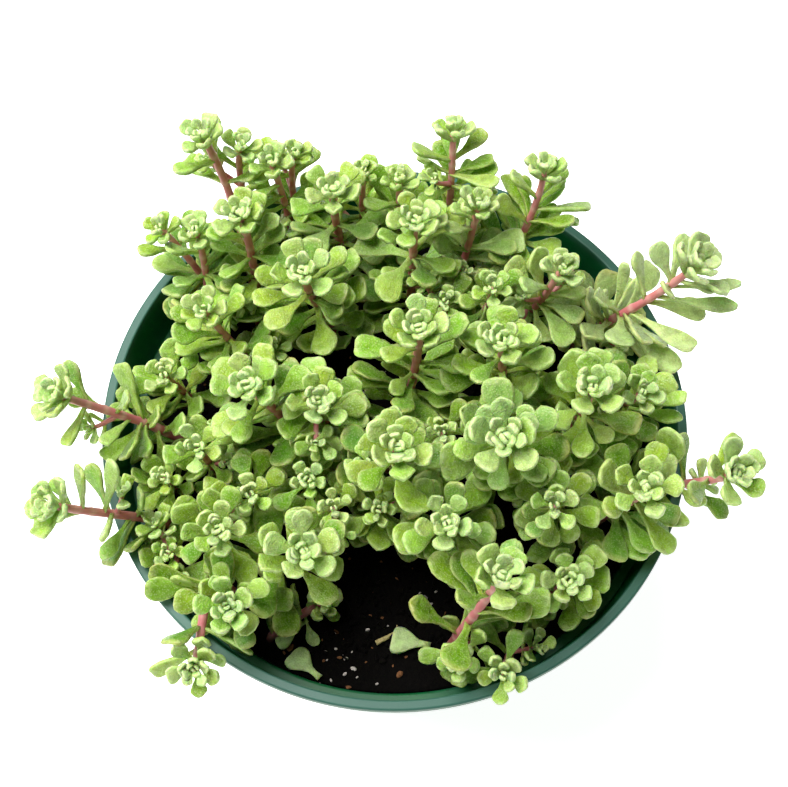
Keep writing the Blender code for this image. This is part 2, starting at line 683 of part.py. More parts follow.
def dropped_leaf(name, root_pixel, tip_pixel, colour):
    """A leaf that lies on the soil."""
    level = POT_HEIGHT - SOIL_DROP + 0.5 * SOIL_MOUND
    root, tip = (seen_at(pixel, level) for pixel in (root_pixel, tip_pixel))
    along = tip - root
    length, along = along.length, along.normalized()
    up = Vector((0.0, 0.0, 1.0))
    highest = max(soil_height(*(root + along * length * share).xy) for share in (0.0, 0.5, 1.0))
    root.z = highest + 0.5 * DROPPED_THICKNESS + 2.0 * GAP
    leaf = Leaf(root, along, up.cross(along), up, length, DROPPED_WIDTH, DROPPED_THICKNESS, 0.05, 0.1)
    return placed_mesh(name, *leaf_guard(leaf, 0.0), colour)


def main():
    for obj in list(bpy.data.objects):
        bpy.data.objects.remove(obj)
    plastic = material("pot_plastic", (0.035, 0.13, 0.10), 0.42)
    mix = material("potting_mix", (0.012, 0.009, 0.007), 0.95)
    red = material("stem", (0.42, 0.13, 0.11), 0.55)
    green = material("leaf", (0.27, 0.46, 0.11), 0.5)

    clearance = Clearance()
    clearance.add("pot", *mesh_of(build_pot(plastic)))

    def soil_round(feet):
        clearance.add("soil", *mesh_of(build_soil(mix, feet)))

    for name, (root_pixel, tip_pixel) in DROPPED_LEAVES.items():
        clearance.add(name, *mesh_of(dropped_leaf(name, root_pixel, tip_pixel, green)))
    stems, whorls, leaves = settled_shoots(clearance, soil_round)
    for shoot in SHOOTS:
        points, faces, kinds = shoot_mesh(stems[shoot.name], whorls[shoot.name], leaves[shoot.name])
        obj = placed_mesh(shoot.name, points, faces, red, green)
        for polygon, kind in zip(obj.data.polygons, kinds):
            polygon.material_index = kind


main()
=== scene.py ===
import functools
import math
import random
from typing import NamedTuple

import bmesh
import bpy
from bpy.props import FloatProperty, FloatVectorProperty, IntProperty, PointerProperty
from mathutils import Matrix, Vector
from mathutils.bvhtree import BVHTree
from mathutils.kdtree import KDTree
from mathutils.noise import noise


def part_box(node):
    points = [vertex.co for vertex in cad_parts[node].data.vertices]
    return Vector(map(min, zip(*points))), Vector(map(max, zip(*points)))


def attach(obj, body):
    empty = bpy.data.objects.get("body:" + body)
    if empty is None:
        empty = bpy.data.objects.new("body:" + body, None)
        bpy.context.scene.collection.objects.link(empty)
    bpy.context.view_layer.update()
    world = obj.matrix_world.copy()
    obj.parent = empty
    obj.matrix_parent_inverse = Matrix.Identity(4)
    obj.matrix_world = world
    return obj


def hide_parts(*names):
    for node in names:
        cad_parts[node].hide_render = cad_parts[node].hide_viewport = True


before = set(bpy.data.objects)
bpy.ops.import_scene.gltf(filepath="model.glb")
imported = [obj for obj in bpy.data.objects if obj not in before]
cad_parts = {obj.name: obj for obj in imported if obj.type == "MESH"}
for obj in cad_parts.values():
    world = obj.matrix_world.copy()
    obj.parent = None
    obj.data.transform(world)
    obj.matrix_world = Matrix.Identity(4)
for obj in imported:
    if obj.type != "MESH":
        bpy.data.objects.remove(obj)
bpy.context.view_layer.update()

bl_info = {
    "name": "Potted sedum",
    "version": (1, 0, 0),
    "blender": (4, 5, 0),
    "location": "3D View > Sidebar > Sedum",
    "description": "Grows a potted sedum: nursery pot, potting mix, red stems and rosettes of fleshy leaves",
    "category": "Add Mesh",
}

MM = 0.001
RIGHT = Vector((1.0, 0.0, 0.0))
UP = Vector((0.0, 0.0, 1.0))
FULL_TURN = 2.0 * math.pi

# A random turn ends just short of a full one. The bands of a wave texture are this far apart at scale 1.
ANY_TURN = 6.28
WAVE_BAND = 0.314

# Each kind of draw counts on from a seed of its own.
PLAN_SEED = 1000
SCAR_SEED = 3000
LEAF_SEED = 5000
DROPPED_SEED = 7000
FALLEN_SCAR_SEED = 11
FALLEN_LEAF_SEED = 12

# The pot stands on the floor at the origin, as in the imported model.
POT_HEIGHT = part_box("pot")[1][2]
RIM_RADIUS = 76.0 * MM
BASE_RADIUS = 53.0 * MM
WALL = 1.4 * MM
LIP_WIDTH = 2.5 * MM
LIP_DEPTH = 2.6 * MM
BAND_DEPTH = 15.0 * MM
LEDGE_RADIUS = RIM_RADIUS - LIP_WIDTH - 2.4 * MM
BODY_RADIUS = LEDGE_RADIUS - 2.6 * MM
DRAIN_HOLES = 6
DRAIN_RADIUS = 4.5 * MM
DRAIN_CIRCLE = 38.0 * MM
POT_SIDES = 180
DRAIN_SIDES = 32
MOULD_LINES = 1.4 * MM

# The potting mix ends below the ledge and rises a little towards the middle, with lumps and finer clods.
GAP = 0.3 * MM
SOIL_DROP = 18.0 * MM
SOIL_MOUND = 5.0 * MM
SOIL_LEVEL = POT_HEIGHT - SOIL_DROP + 0.5 * SOIL_MOUND
SOIL_LUMP = 0.9 * MM
LUMP_SPACING = 9.0 * MM
CLOD_HEIGHT = 0.45 * MM
CLOD_SPACING = 3.1 * MM
SMALL_CLOD_SPACING = 1.5 * MM
HOLE_DEPTH = 6.0 * MM
SOIL_RINGS = 60
SOIL_SECTORS = 180
STREWN_MARGIN = 2.6 * MM
STREWN_STEPS = 24

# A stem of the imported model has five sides, and each side can carry a leaf.
STEM_BASE_RADIUS = 1.35 * MM
STEM_TIP_RADIUS = 1.0 * MM
YOUNG_SLENDER = 0.85
AXIS_PULL = 0.42
SIDES = 5
SIDE_ANGLE = FULL_TURN / SIDES
GOLDEN_ANGLE = math.radians(137.5)
FOOT_MARGIN = 4.0 * MM
FOOT_STEP = 1.1 * MM
FOOT_SPACING = 5.2 * MM
FEET_TRIED = 90
STEM_RISES = (0.3, 0.5, 0.8, 1.1)

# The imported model's leaves: their depths under the crown, their shape, and how they keep clear of others.
SMALL_SPREAD = 13.5
INNER_DROP = 0.3 * MM
OUTER_DROP = 1.8 * MM
MOST_SPACING = 7.5 * MM
PAIR_TWIST = math.radians(-13.0)
LEAST_STEM_LEAF = 7.0 * MM
STEM_LEAF_SHARE = 0.7
OLDER_GROWTH = 0.08
ROOT_THICKNESS = 1.0 * MM
WIDEST_AT = 0.78
TIP_WIDTH = 0.66
LEAF_CLEARANCE = 0.45 * MM
OWN_CLEARANCE = 0.15 * MM
CLEAR_FROM = 0.2
PARTED_FROM = 0.04
STRAY_LIMIT = 0.05 * MM

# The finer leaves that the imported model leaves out. In the heart, the first number of a pair is for the
# tip of the shoot and the second is what the outermost leaf has more: the pitch in degrees, the distance
# from the stem in millimetres, and the length as a share of the rosette's radius.
HEART_LEAVES = 6
HEART_PITCH = (6.0, 34.0)
HEART_OUT = (0.25, 0.55)
HEART_LENGTH = (0.26, 0.30)
HEART_SWING = 0.3
HEART_SINK = 0.5 * MM
HEART_PLUMP = 0.36
FINE_CLEARANCE = 0.12 * MM
MIDDLE_SPREAD = 16.5
MIDDLE_DROP = 0.9 * MM
MIDDLE_CHANCE = 0.25
SKIRT_DROP = 4.2 * MM
SKIRT_CHANCE = 0.2
LOW_CHANCE = 0.72
BARE_NECK = 11.0 * MM
RING_SPACING = 4.2 * MM
LEAFY_DEPTH = 0.84
LEAFY_REACH = 66.0 * MM
MOST_ROLL = math.radians(32.0)
SPRIGS_TRIED = 3
LEAST_YOUNG_LEAVES = 5
SIDE_STEM_PLACE = (0.25, 0.80)
SIDE_STEM_REACH = (7.0, 12.0)
SIDE_STEM_SLENDER = 0.55
YOUNG_SIZE = (4.0, 6.2)
YOUNG_HEART = 3.4 * MM
YOUNG_HEART_LEAVES = 4
YOUNG_DROPS = (0.2 * MM, 1.2 * MM, 3.6 * MM)

# Ages run from 0 in the heart to 1 low on the stem. Along the stem they grow with each millimetre of depth.
HEART_AGE = 0.10
INNER_AGE = 0.18
MIDDLE_AGE = 0.24
OUTER_AGE = 0.42
SKIRT_AGE = 0.52
YOUNG_AGES = (0.25, 0.45, 0.6)
STEM_AGE = 0.6
AGEING = 0.02
MOST_AGEING = 0.35
DROPPED_AGE = 0.12

# A fine leaf's outline, and the thickness and pinch along it, from its root at 0 to its tip at 1.
LEAF_OUTLINE = (
    (0.0, 0.26), (0.15, 0.22), (0.35, 0.31), (0.50, 0.56), (0.65, 0.86), (0.79, 1.0), (0.90, 0.96),
    (0.96, 0.83), (1.0, 0.52),
)
LEAF_PROFILE = ((0.0, 0.55), (0.30, 0.82), (0.60, 0.96), (0.85, 1.0), (0.95, 0.88), (1.0, 0.50))
LEAF_PINCH = (
    (0.0, 0.0), (0.30, 0.08), (0.50, 0.20), (0.65, 0.15), (0.79, 0.02), (0.90, 0.22), (0.96, 0.38),
    (1.0, 0.34),
)
LEAF_SIDES = 8
LEAF_ROWS = 9
ROW_CROWDING = 1.6
PLUMPNESS = 0.16
GUTTER_SHARE = 0.35
ROOT_SINK = 0.6 * MM
YOUNG_HOLLOW = 0.2
HOLLOWING = 3.0
LEAF_THICKNESS = 1.5 * MM

# A fine stem is round, with a low ridge at each leaf scar, and it closes at its tip.
STEM_SIDES = 9
STEM_STEP = 1.2 * MM
SCAR_SPACING = (3.5 * MM, 6.0 * MM)
SCAR_REACH = 0.55 * MM
SCAR_BULGE = 0.14
CLOSED_TIP = 0.45

# The pieces whose leaves get painted light, as shoots that stand out of the shade, and how much.
PAINTED_LIGHT_LEAVES = {"shoot_right_2_leaves": 0.5, "shoot_right_1_leaves": 0.25, "shoot_back_11_leaves": 0.2}

# Leaves that the picture shows hanging over the lip, by shoot: the share of the stem where each one grows,
# the pixel of its tip, its height above the rim and its width in millimetres, and its age.
SEEN_LEAVES = {
    "shoot_right_4": (
        (0.80, (687, 402), 20, 4.4, 0.50),
        (0.60, (681, 424), 14, 4.8, 0.60),
        (0.70, (672, 378), 18, 4.6, 0.55),
    ),
    "shoot_right_6": (
        (0.45, (683, 432), 17, 8.5, 0.45),
        (0.62, (700, 508), 12, 4.8, 0.40),
        (0.50, (672, 530), 13, 7.2, 0.50),
        (0.35, (663, 553), 8, 7.2, 0.60),
    ),
    "shoot_right_5": (
        (0.55, (680, 462), 15, 7.0, 0.50),
        (0.40, (640, 563), 7, 7.5, 0.60),
    ),
    "shoot_right_2": (
        (0.62, (691, 353), 12, 5.6, 0.50),
        (0.55, (673, 375), 6, 7.5, 0.70),
        (0.50, (631, 262), 24, 3.2, 0.60),
        (0.86, (741, 289), 24, 3.8, 0.40),
        (0.78, (736, 313), 20, 5.2, 0.45),
        (0.88, (656, 242), 33, 6.0, 0.40),
        (0.40, (592, 292), 16, 5.2, 0.60),
    ),
    "shoot_left_5": (
        (0.60, (99, 445), 16, 3.8, 0.45),
    ),
    "shoot_left_6": (
        (0.55, (99, 560), 8, 4.6, 0.50),
        (0.72, (120, 463), 26, 5.2, 0.45),
    ),
}
SEEN_LEAF_LIFTS = (0.0, 3.0 * MM, -3.0 * MM, 6.0 * MM, -6.0 * MM, 9.0 * MM)

# The soil at the front is bare: no finer leaf ends inside this ellipse of the picture.
BARE_CENTRE = (354.0, 628.0)
BARE_REACH = (88.0, 68.0)

# Nor does one hide the neck of a shoot, which the picture shows from a little below the crown.
NECK_FROM = 2.5 * MM
NECK_STEP = 1.5 * MM
LEAST_NECK_STEPS = 10
NECK_STEPS = {"shoot_front_4": 17}
NECK_PIXELS = 6.0

# What lies on the bare soil, by its place in the picture, with sizes in millimetres.
SEEN_PERLITE = (
    (424, 600, 2.3), (420, 593, 0.7), (430, 604, 1.0), (436, 592, 0.7), (368, 630, 1.0), (346, 659, 1.0),
    (354, 669, 1.4), (345, 674, 0.9), (357, 677, 0.6), (325, 652, 0.9), (336, 649, 0.8), (336, 633, 0.6),
    (327, 660, 0.5), (331, 680, 0.7), (319, 685, 1.1), (352, 652, 0.5), (388, 626, 0.5), (377, 684, 0.7),
    (308, 665, 0.5),
)
SEEN_BARK = (
    (414, 608, 0.9), (399, 675, 1.7), (406, 657, 0.7), (348, 687, 1.2), (290, 648, 1.8), (340, 658, 1.0),
    (393, 666, 0.6), (366, 662, 0.6), (410, 615, 0.6), (372, 648, 0.5), (284, 653, 0.9), (322, 640, 0.6),
    (556, 316, 1.4), (547, 309, 0.9),
)
DRY_ROOT = (
    (376, 643, 0.70), (382, 640, 0.60), (388, 637, 0.55), (391, 634, 0.22), (396, 631, 0.20),
    (397, 625, 0.14),
)

# The fallen sprig: the pixel and height of each end of its stem, then of each leaf, with its width and age.
FALLEN_STEM = ((274, 633), 1.4, (313, 606), 2.8)
FALLEN_LEAVES = (
    ((306, 621), 1.4, (276, 643), 1.1, 4.4, 0.20),
    ((305, 617), 2.2, (313, 647), 1.4, 3.4, 0.30),
    ((314, 608), 2.6, (338, 621), 1.3, 3.0, 0.55),
    ((313, 605), 2.8, (343, 597), 3.0, 4.0, 0.15),
    ((303, 614), 1.6, (291, 603), 1.6, 3.5, 0.80),
)
FALLEN_THICKNESS = 1.1 * MM

# Two dropped leaves lie on the bare soil at the front: the pixel of the root, and of the tip.
DROPPED_LEAVES = {"dropped_leaf_1": ((318, 676), (293, 652)), "dropped_leaf_2": ((428, 646), (392, 638))}
DROPPED_WIDTH = 7.0 * MM
DROPPED_THICKNESS = 1.4 * MM

# The photograph's frame is 788 x 787 pixels, and it looks down on the rim from the front.
PICTURE_WIDTH = 788.0
PICTURE_CENTRE = (394.0, 393.5)
PICTURE_FOCUS = 1449.0
EYE_DISTANCE = 380.0 * MM
EYE_ELEVATION = math.radians(65.7)
AIM = Vector((-0.2 * MM, 7.1 * MM, POT_HEIGHT))
SENSOR_WIDTH = 36.0

# The lamp hangs over the plant, a little behind it and to the left, and looks at the same point as the camera.
LAMP_PLACE = Vector((-0.42, 0.20, 1.10))
LAMP_SIZE = 0.9
FLOOR_REACH = 2.0
FLOOR_DROP = 0.2 * MM


class Shoot(NamedTuple):
    """A leafy shoot as the picture shows it. Pixels for places, millimetres for sizes."""

    name: str
    crown: tuple  # the heart of the rosette, in pixels
    height: float  # of the crown above the rim, in millimetres
    faces: tuple  # how far the rosette is turned to the right and to the top: (0, 0) looks at the eye
    foot: tuple  # where the stem leaves the soil, in pixels
    spread: float  # across the rosette, in millimetres
    pairs: int  # of leaves along the stem, below the rosette


# The shoots of each part of the pot, and the small sprigs among them. They are numbered from 1.
SHOOT_ROWS = {
    "shoot_back": (
        ((203, 137), 38, (-0.35, 0.60), (255, 292), 14, 3),
        ((240, 147), 33, (0.10, 0.55), (272, 282), 12, 3),
        ((271, 163), 32, (-0.25, 0.60), (296, 268), 13, 3),
        ((294, 154), 28, (0.15, 0.70), (312, 250), 11, 2),
        ((333, 191), 36, (0.00, 0.45), (350, 292), 16, 3),
        ((363, 172), 28, (0.05, 0.65), (368, 252), 9, 2),
        ((399, 180), 30, (0.00, 0.75), (404, 262), 11, 3),
        ((453, 131), 40, (0.00, 0.90), (442, 262), 13, 4),
        ((545, 170), 38, (0.15, 0.82), (492, 290), 13, 4),
        ((414, 222), 38, (0.00, 0.42), (409, 338), 16, 3),
        ((478, 206), 35, (0.12, 0.65), (450, 312), 13, 3),
    ),
    "shoot_left": (
        ((240, 216), 37, (-0.20, 0.50), (262, 338), 15, 3),
        ((161, 229), 26, (-0.50, 0.50), (220, 312), 11, 3),
        ((196, 232), 27, (-0.20, 0.55), (212, 338), 12, 3),
        ((205, 311), 31, (-0.25, 0.35), (270, 396), 13, 3),
        ((60, 396), 22, (-0.66, 0.20), (194, 452), 17, 4),
        ((54, 506), 20, (-0.66, 0.12), (184, 532), 17, 4),
        ((218, 530), 25, (-0.05, 0.08), (226, 548), 14, 3),
    ),
    "shoot_middle": (
        ((302, 273), 38, (-0.10, 0.35), (338, 350), 17, 3),
        ((419, 331), 41, (0.00, 0.42), (404, 430), 17, 4),
        ((502, 342), 41, (0.00, 0.38), (500, 424), 17, 4),
        ((505, 438), 42, (0.00, 0.14), (512, 470), 20, 4),
        ((397, 449), 40, (0.05, 0.25), (388, 482), 18, 4),
        ((249, 388), 37, (-0.28, 0.22), (318, 470), 18, 4),
        ((318, 403), 33, (0.12, 0.32), (338, 436), 15, 3),
    ),
    "shoot_right": (
        ((561, 270), 30, (0.30, 0.55), (516, 338), 13, 3),
        ((693, 268), 31, (0.60, 0.50), (572, 352), 20, 5),
        ((592, 389), 37, (0.12, 0.40), (560, 448), 18, 4),
        ((641, 394), 24, (0.35, 0.25), (612, 418), 13, 3),
        ((645, 489), 29, (0.12, 0.18), (590, 530), 17, 4),
        ((732, 474), 20, (0.50, 0.18), (612, 500), 18, 4),
    ),
    "shoot_front": (
        ((303, 551), 32, (0.05, 0.10), (272, 584), 18, 4),
        ((226, 606), 22, (0.00, 0.02), (246, 600), 15, 3),
        ((195, 666), 7, (-0.10, -0.35), (222, 596), 15, 4),
        ((500, 578), 33, (0.25, 0.40), (446, 656), 18, 4),
        ((503, 675), 5, (0.00, -0.15), (514, 650), 13, 2),
        ((458, 660), 4, (-0.25, -0.20), (476, 636), 12, 3),
        ((554, 506), 31, (0.05, 0.12), (560, 520), 13, 3),
        ((446, 523), 32, (0.00, 0.06), (446, 534), 15, 3),
    ),
    "sprig": (
        ((492, 288), 28, (0.00, 0.40), (468, 338), 11, 2),
        ((446, 302), 22, (0.00, 0.30), (440, 322), 10, 1),
        ((442, 433), 24, (0.00, 0.05), (446, 444), 9, 1),
        ((308, 480), 22, (0.00, 0.10), (314, 494), 10, 1),
        ((250, 494), 20, (0.00, 0.05), (262, 508), 11, 2),
        ((165, 376), 12, (-0.20, 0.20), (196, 408), 12, 1),
        ((197, 448), 16, (-0.10, 0.10), (222, 484), 13, 2),
        ((164, 478), 8, (-0.20, 0.10), (178, 490), 9, 1),
        ((168, 553), 4, (-0.15, 0.00), (180, 560), 9, 1),
        ((379, 510), 20, (0.00, 0.05), (382, 520), 9, 1),
        ((568, 580), 14, (0.10, 0.05), (568, 584), 14, 2),
        ((334, 508), 20, (0.05, 0.10), (338, 520), 9, 1),
        ((322, 603), -7, (0.30, 0.20), (270, 637), 10, 1),
    ),
}
SHOOTS = [Shoot(f"{group}_{i}", *row) for group, rows in SHOOT_ROWS.items() for i, row in enumerate(rows, 1)]


def sight_line(pixel):
    """The eye, and the unit direction in which it sees a pixel of the picture."""
    back = Vector((0.0, -math.cos(EYE_ELEVATION), math.sin(EYE_ELEVATION)))
    up = Vector((0.0, math.sin(EYE_ELEVATION), math.cos(EYE_ELEVATION)))
    across = (pixel[0] - PICTURE_CENTRE[0]) / PICTURE_FOCUS
    above = (PICTURE_CENTRE[1] - pixel[1]) / PICTURE_FOCUS
    return AIM + EYE_DISTANCE * back, (RIGHT * across + up * above - back).normalized()


def seen_at(pixel, z):
    """The point at height z that the picture shows at this pixel."""
    eye, direction = sight_line(pixel)
    return eye + direction * ((z - eye.z) / direction.z)


def pixel_of(point):
    """Where the picture shows this point, with its depth in place of a third coordinate."""
    eye, ahead = sight_line(PICTURE_CENTRE)
    beyond = point - eye
    depth = beyond.dot(ahead)
    x = PICTURE_CENTRE[0] + beyond.dot(RIGHT) * PICTURE_FOCUS / depth
    return x, PICTURE_CENTRE[1] - beyond.dot(RIGHT.cross(ahead)) * PICTURE_FOCUS / depth, depth


def facing(pixel, faces):
    """The unit direction of a rosette's axis, from how it is turned in the picture."""
    towards_eye = -sight_line(pixel)[1]
    up = towards_eye.cross(RIGHT).normalized()
    depth = math.sqrt(max(0.0, 1.0 - faces[0] ** 2 - faces[1] ** 2))
    return (RIGHT * faces[0] + up * faces[1] + towards_eye * depth).normalized()


def soil_height(x, y):
    """The top of the potting mix: a low mound with lumps."""
    share = min(1.0, math.hypot(x, y) / BODY_RADIUS)
    lumps = noise(Vector((x / LUMP_SPACING, y / LUMP_SPACING, 0.0))) * (1.0 - share**4)
    return POT_HEIGHT - SOIL_DROP + SOIL_MOUND * (1.0 - share**2) + SOIL_LUMP * lumps


def fine_height(x, y):
    """The top of the potting mix, with its clods."""
    share = min(1.0, math.hypot(x, y) / BODY_RADIUS)
    clods = noise(Vector((x, y, 0.0)) / CLOD_SPACING) + 0.6 * noise(Vector((x, y, 4.0)) / SMALL_CLOD_SPACING)
    return soil_height(x, y) + CLOD_HEIGHT * clods * (1.0 - share**8)


def seen_on_soil(pixel, rise=0.0):
    """The point that the picture shows at this pixel, this far above the top of the potting mix."""
    point = seen_at(pixel, SOIL_LEVEL)
    for _ in range(3):
        point = seen_at(pixel, fine_height(point.x, point.y) + rise)
    return point


def inner_radius(z):
    """The radius inside the pot's body at height z, below the ledge."""
    bottom = BASE_RADIUS - WALL
    return bottom + (BODY_RADIUS - bottom) * (z - WALL) / (POT_HEIGHT - BAND_DEPTH - WALL)


def polar(radius, turn, z=0.0):
    """The point this far from the pot's axis, in the direction of this turn."""
    return Vector((radius * math.cos(turn), radius * math.sin(turn), z))


def placed_mesh(name, points, faces, *materials, edges=()):
    """A new object in the scene, from world points."""
    mesh = bpy.data.meshes.new(name)
    mesh.from_pydata([tuple(p) for p in points], edges, faces)
    for one in materials:
        mesh.materials.append(one)
    obj = bpy.data.objects.new(name, mesh)
    bpy.context.scene.collection.objects.link(obj)
    return obj


def mesh_of(name):
    """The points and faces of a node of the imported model."""
    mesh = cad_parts[name].data
    return [v.co.copy() for v in mesh.vertices], [tuple(p.vertices) for p in mesh.polygons]


def tube_faces(rings, sides):
    """Faces of a closed tube of rings, each of the same number of points, with flat ends."""
    faces = [tuple(reversed(range(sides)))]
    for low in range(0, (rings - 1) * sides, sides):
        for i in range(sides):
            j = (i + 1) % sides
            faces.append((low + i, low + j, low + sides + j, low + sides + i))
    faces.append(tuple(range((rings - 1) * sides, rings * sides)))
    return faces


def lathe(name, profile, sides, *materials):
    """Turns a profile of (radius, height) that starts and ends on the axis."""
    centre_low, *rim, centre_high = profile
    points, turn = [], FULL_TURN / sides
    for radius, z in rim:
        points += [polar(radius, i * turn, z) for i in range(sides)]
    faces = tube_faces(len(rim), sides)[1:-1]
    for (_, z), ring, turned in ((centre_low, 0, True), (centre_high, len(rim) - 1, False)):
        centre, first = len(points), ring * sides
        points.append(UP * z)
        for i in range(sides):
            edge = (first + i, first + (i + 1) % sides)
            faces.append((centre, *(reversed(edge) if turned else edge)))
    return placed_mesh(name, points, faces, *materials)


def prisms(name, axes, radius, sides):
    """One mesh of upright prisms, one for each (foot, top) pair of points."""
    points, faces = [], []
    for axis in axes:
        faces += [tuple(len(points) + i for i in face) for face in tube_faces(2, sides)]
        points += [centre + polar(radius, FULL_TURN * i / sides) for centre in axis for i in range(sides)]
    return placed_mesh(name, points, faces)


def cut(obj, cutter):
    """Subtracts a cutter from an object, and removes the cutter."""
    modifier = obj.modifiers.new("cut", "BOOLEAN")
    modifier.operation = "DIFFERENCE"
    modifier.object = cutter
    graph = bpy.context.evaluated_depsgraph_get()
    obj.data = bpy.data.meshes.new_from_object(obj.evaluated_get(graph))
    obj.modifiers.clear()
    bpy.data.objects.remove(cutter)


class Leaf(NamedTuple):
    """A spoon-shaped leaf: three unit directions at its root, and its sizes in metres."""

    root: Vector
    along: Vector
    across: Vector
    face: Vector
    length: float
    width: float
    thickness: float
    bend: float  # how far the tip rises, as a share of the length
    cup: float  # how far the edges rise, as a share of the half width


# The faces of a closed leaf: four points round its root, four round its widest section, and two at its tip.
LEAF_FACES = [(3, 2, 1, 0), *((i, (i + 1) % 4, (i + 1) % 4 + 4, i + 4) for i in range(4))]
LEAF_FACES += [(4, 5, 8), (5, 9, 8), (5, 6, 9), (6, 7, 9), (7, 8, 9), (7, 4, 8)]


def leaf_blade(leaf, extra=0.0):
    """The widest section of a leaf, four points from its right edge over the face, and its blunt tip."""

    def at(u, x, z):
        rise = leaf.bend * leaf.length * u * u
        return leaf.root + leaf.along * (leaf.length * u) + leaf.across * x + leaf.face * (rise + z)

    half_width = 0.5 * leaf.width + extra
    half_thick = 0.5 * leaf.thickness + extra
    half_tip = TIP_WIDTH * half_width
    section = ((1, leaf.cup * half_width), (0, half_thick), (-1, leaf.cup * half_width), (0, -half_thick))
    tip = 1.0 + extra / leaf.length
    return [at(WIDEST_AT, side * half_width, z) for side, z in section] + [
        at(tip, side * half_tip, leaf.cup * half_tip) for side in (1, -1)
    ]


def leaf_guard(leaf, extra, start=0.0):
    """A closed leaf that is larger all round by extra, from a share of its length on."""
    share = start / WIDEST_AT
    half_root = 0.5 * (ROOT_THICKNESS + (leaf.width - ROOT_THICKNESS) * share) + extra
    half_thick = 0.5 * (ROOT_THICKNESS + (leaf.thickness - ROOT_THICKNESS) * share) + extra
    foot = leaf.root + leaf.along * (leaf.length * start)
    arms = (leaf.across * half_root, leaf.face * half_thick)
    points = [foot + arms[0], foot + arms[1], foot - arms[0], foot - arms[1]]
    return points + leaf_blade(leaf, extra), LEAF_FACES


class Stem:
    """A stem's line from the soil to the crown, and the rings of points round it."""

    def __init__(self, foot, crown, axis, rise, slender, turn):
        reach = (crown - foot).length
        self.foot, self.crown, self.slender, self.turn = foot, crown, slender, turn
        self.control = (foot, foot + UP * (rise * reach), crown - axis * (AXIS_PULL * reach), crown)
        self.length = sum((self.at(i / 20) - self.at((i + 1) / 20)).length for i in range(20))

    def at(self, t):
        p0, p1, p2, p3 = self.control
        s = 1.0 - t
        return p0 * s**3 + p1 * 3 * s * s * t + p2 * 3 * s * t * t + p3 * t**3

    def along(self, t):
        return (self.at(min(1.0, t + 0.01)) - self.at(max(0.0, t - 0.01))).normalized()

    def below_crown(self, distance):
        """The share of the stem that lies this far under the crown."""
        return max(0.0, 1.0 - distance / self.length)

    def radius(self, t):
        return self.slender * (STEM_BASE_RADIUS + (STEM_TIP_RADIUS - STEM_BASE_RADIUS) * t)

    def frame(self, t, twist=0.0):
        """The directions along the stem and out to its first corner, with no twist of its own."""
        ahead, side = self.along(0.0), polar(1.0, self.turn)
        for i in range(1, 13):
            ahead = self.along(t * i / 12)
            side = (side - ahead * side.dot(ahead)).normalized()
        return ahead, Matrix.Rotation(twist, 3, ahead) @ side

    def ring(self, t, twist=0.0, drop=0.0, extra=0.0):
        """The corners of the stem at share t, or lower by drop."""
        ahead, side = self.frame(t, twist)
        centre = self.at(t) - UP * drop
        radius = self.radius(t) + extra
        return [centre + Matrix.Rotation(k * SIDE_ANGLE, 3, ahead) @ side * radius for k in range(SIDES)]

    def guard(self, extra, start=0):
        """The bare stem, larger all round by extra, with its foot in the soil or from some fifth of it on."""
        points = [] if start else self.ring(0.0, drop=HOLE_DEPTH - GAP, extra=extra)
        for i in range(start, 6):
            points += self.ring(i / 5, extra=extra)
        return points, tube_faces(len(points) // SIDES, SIDES)


class Whorl(NamedTuple):
    """A ring of the stem that carries leaves, with the wished leaf for each of some sides."""

    t: float
    twist: float
    wishes: dict


class Habit(NamedTuple):
    """The ranges that a kind of leaf is drawn from. Its width is a share of the length or reach given."""

    turn: float  # most swing to either side, in radians
    pitch: tuple  # lean away from the stem, in degrees
    width: tuple
    thickness: tuple  # in millimetres, and a single number is not drawn
    bend: tuple
    cup: tuple
    plump: float = 1.0  # most thickness, as a share of the length


INNER_LEAF = Habit(0.08, (29, 40), (0.38, 0.44), 1.4, (0.00, 0.08), (0.25, 0.45))
OUTER_LEAF = Habit(0.16, (46, 68), (0.58, 0.70), (1.6, 2.1), (-0.02, 0.14), (0.20, 0.45))
STEM_LEAF = Habit(0.25, (54, 80), (0.43, 0.52), (1.5, 1.9), (-0.02, 0.14), (0.05, 0.25))
FINE_LEAF = Habit(0.40, (52, 74), (0.56, 0.68), (1.3, 1.9), (-0.06, 0.16), (0.10, 0.40), 0.28)
MIDDLE_LEAF = FINE_LEAF._replace(pitch=(38, 52), width=(0.60, 0.70))
SKIRT_LEAF = FINE_LEAF._replace(pitch=(58, 84), width=(0.48, 0.60))
LOW_LEAF = FINE_LEAF._replace(pitch=(40, 90), width=(0.44, 0.58))
YOUNG_LEAF = FINE_LEAF._replace(pitch=(26, 40), width=(0.58, 0.68))
OLDER_YOUNG_LEAF = FINE_LEAF._replace(pitch=(56, 80), width=(0.50, 0.62))


def wish(draw, habit, length, reach=None):
    """A leaf drawn from a habit: of this length, or with its length and width drawn as shares of a reach."""
    turn = draw.uniform(-habit.turn, habit.turn)
    pitch = math.radians(draw.uniform(*habit.pitch))
    if reach:
        length = reach * draw.uniform(*length)
    width = (reach or length) * draw.uniform(*habit.width)
    thickness = habit.thickness if isinstance(habit.thickness, float) else draw.uniform(*habit.thickness)
    return dict(
        turn=turn,
        pitch=pitch,
        length=length,
        width=width,
        thickness=min(thickness * MM, habit.plump * length),
        bend=draw.uniform(*habit.bend),
        cup=draw.uniform(*habit.cup),
    )


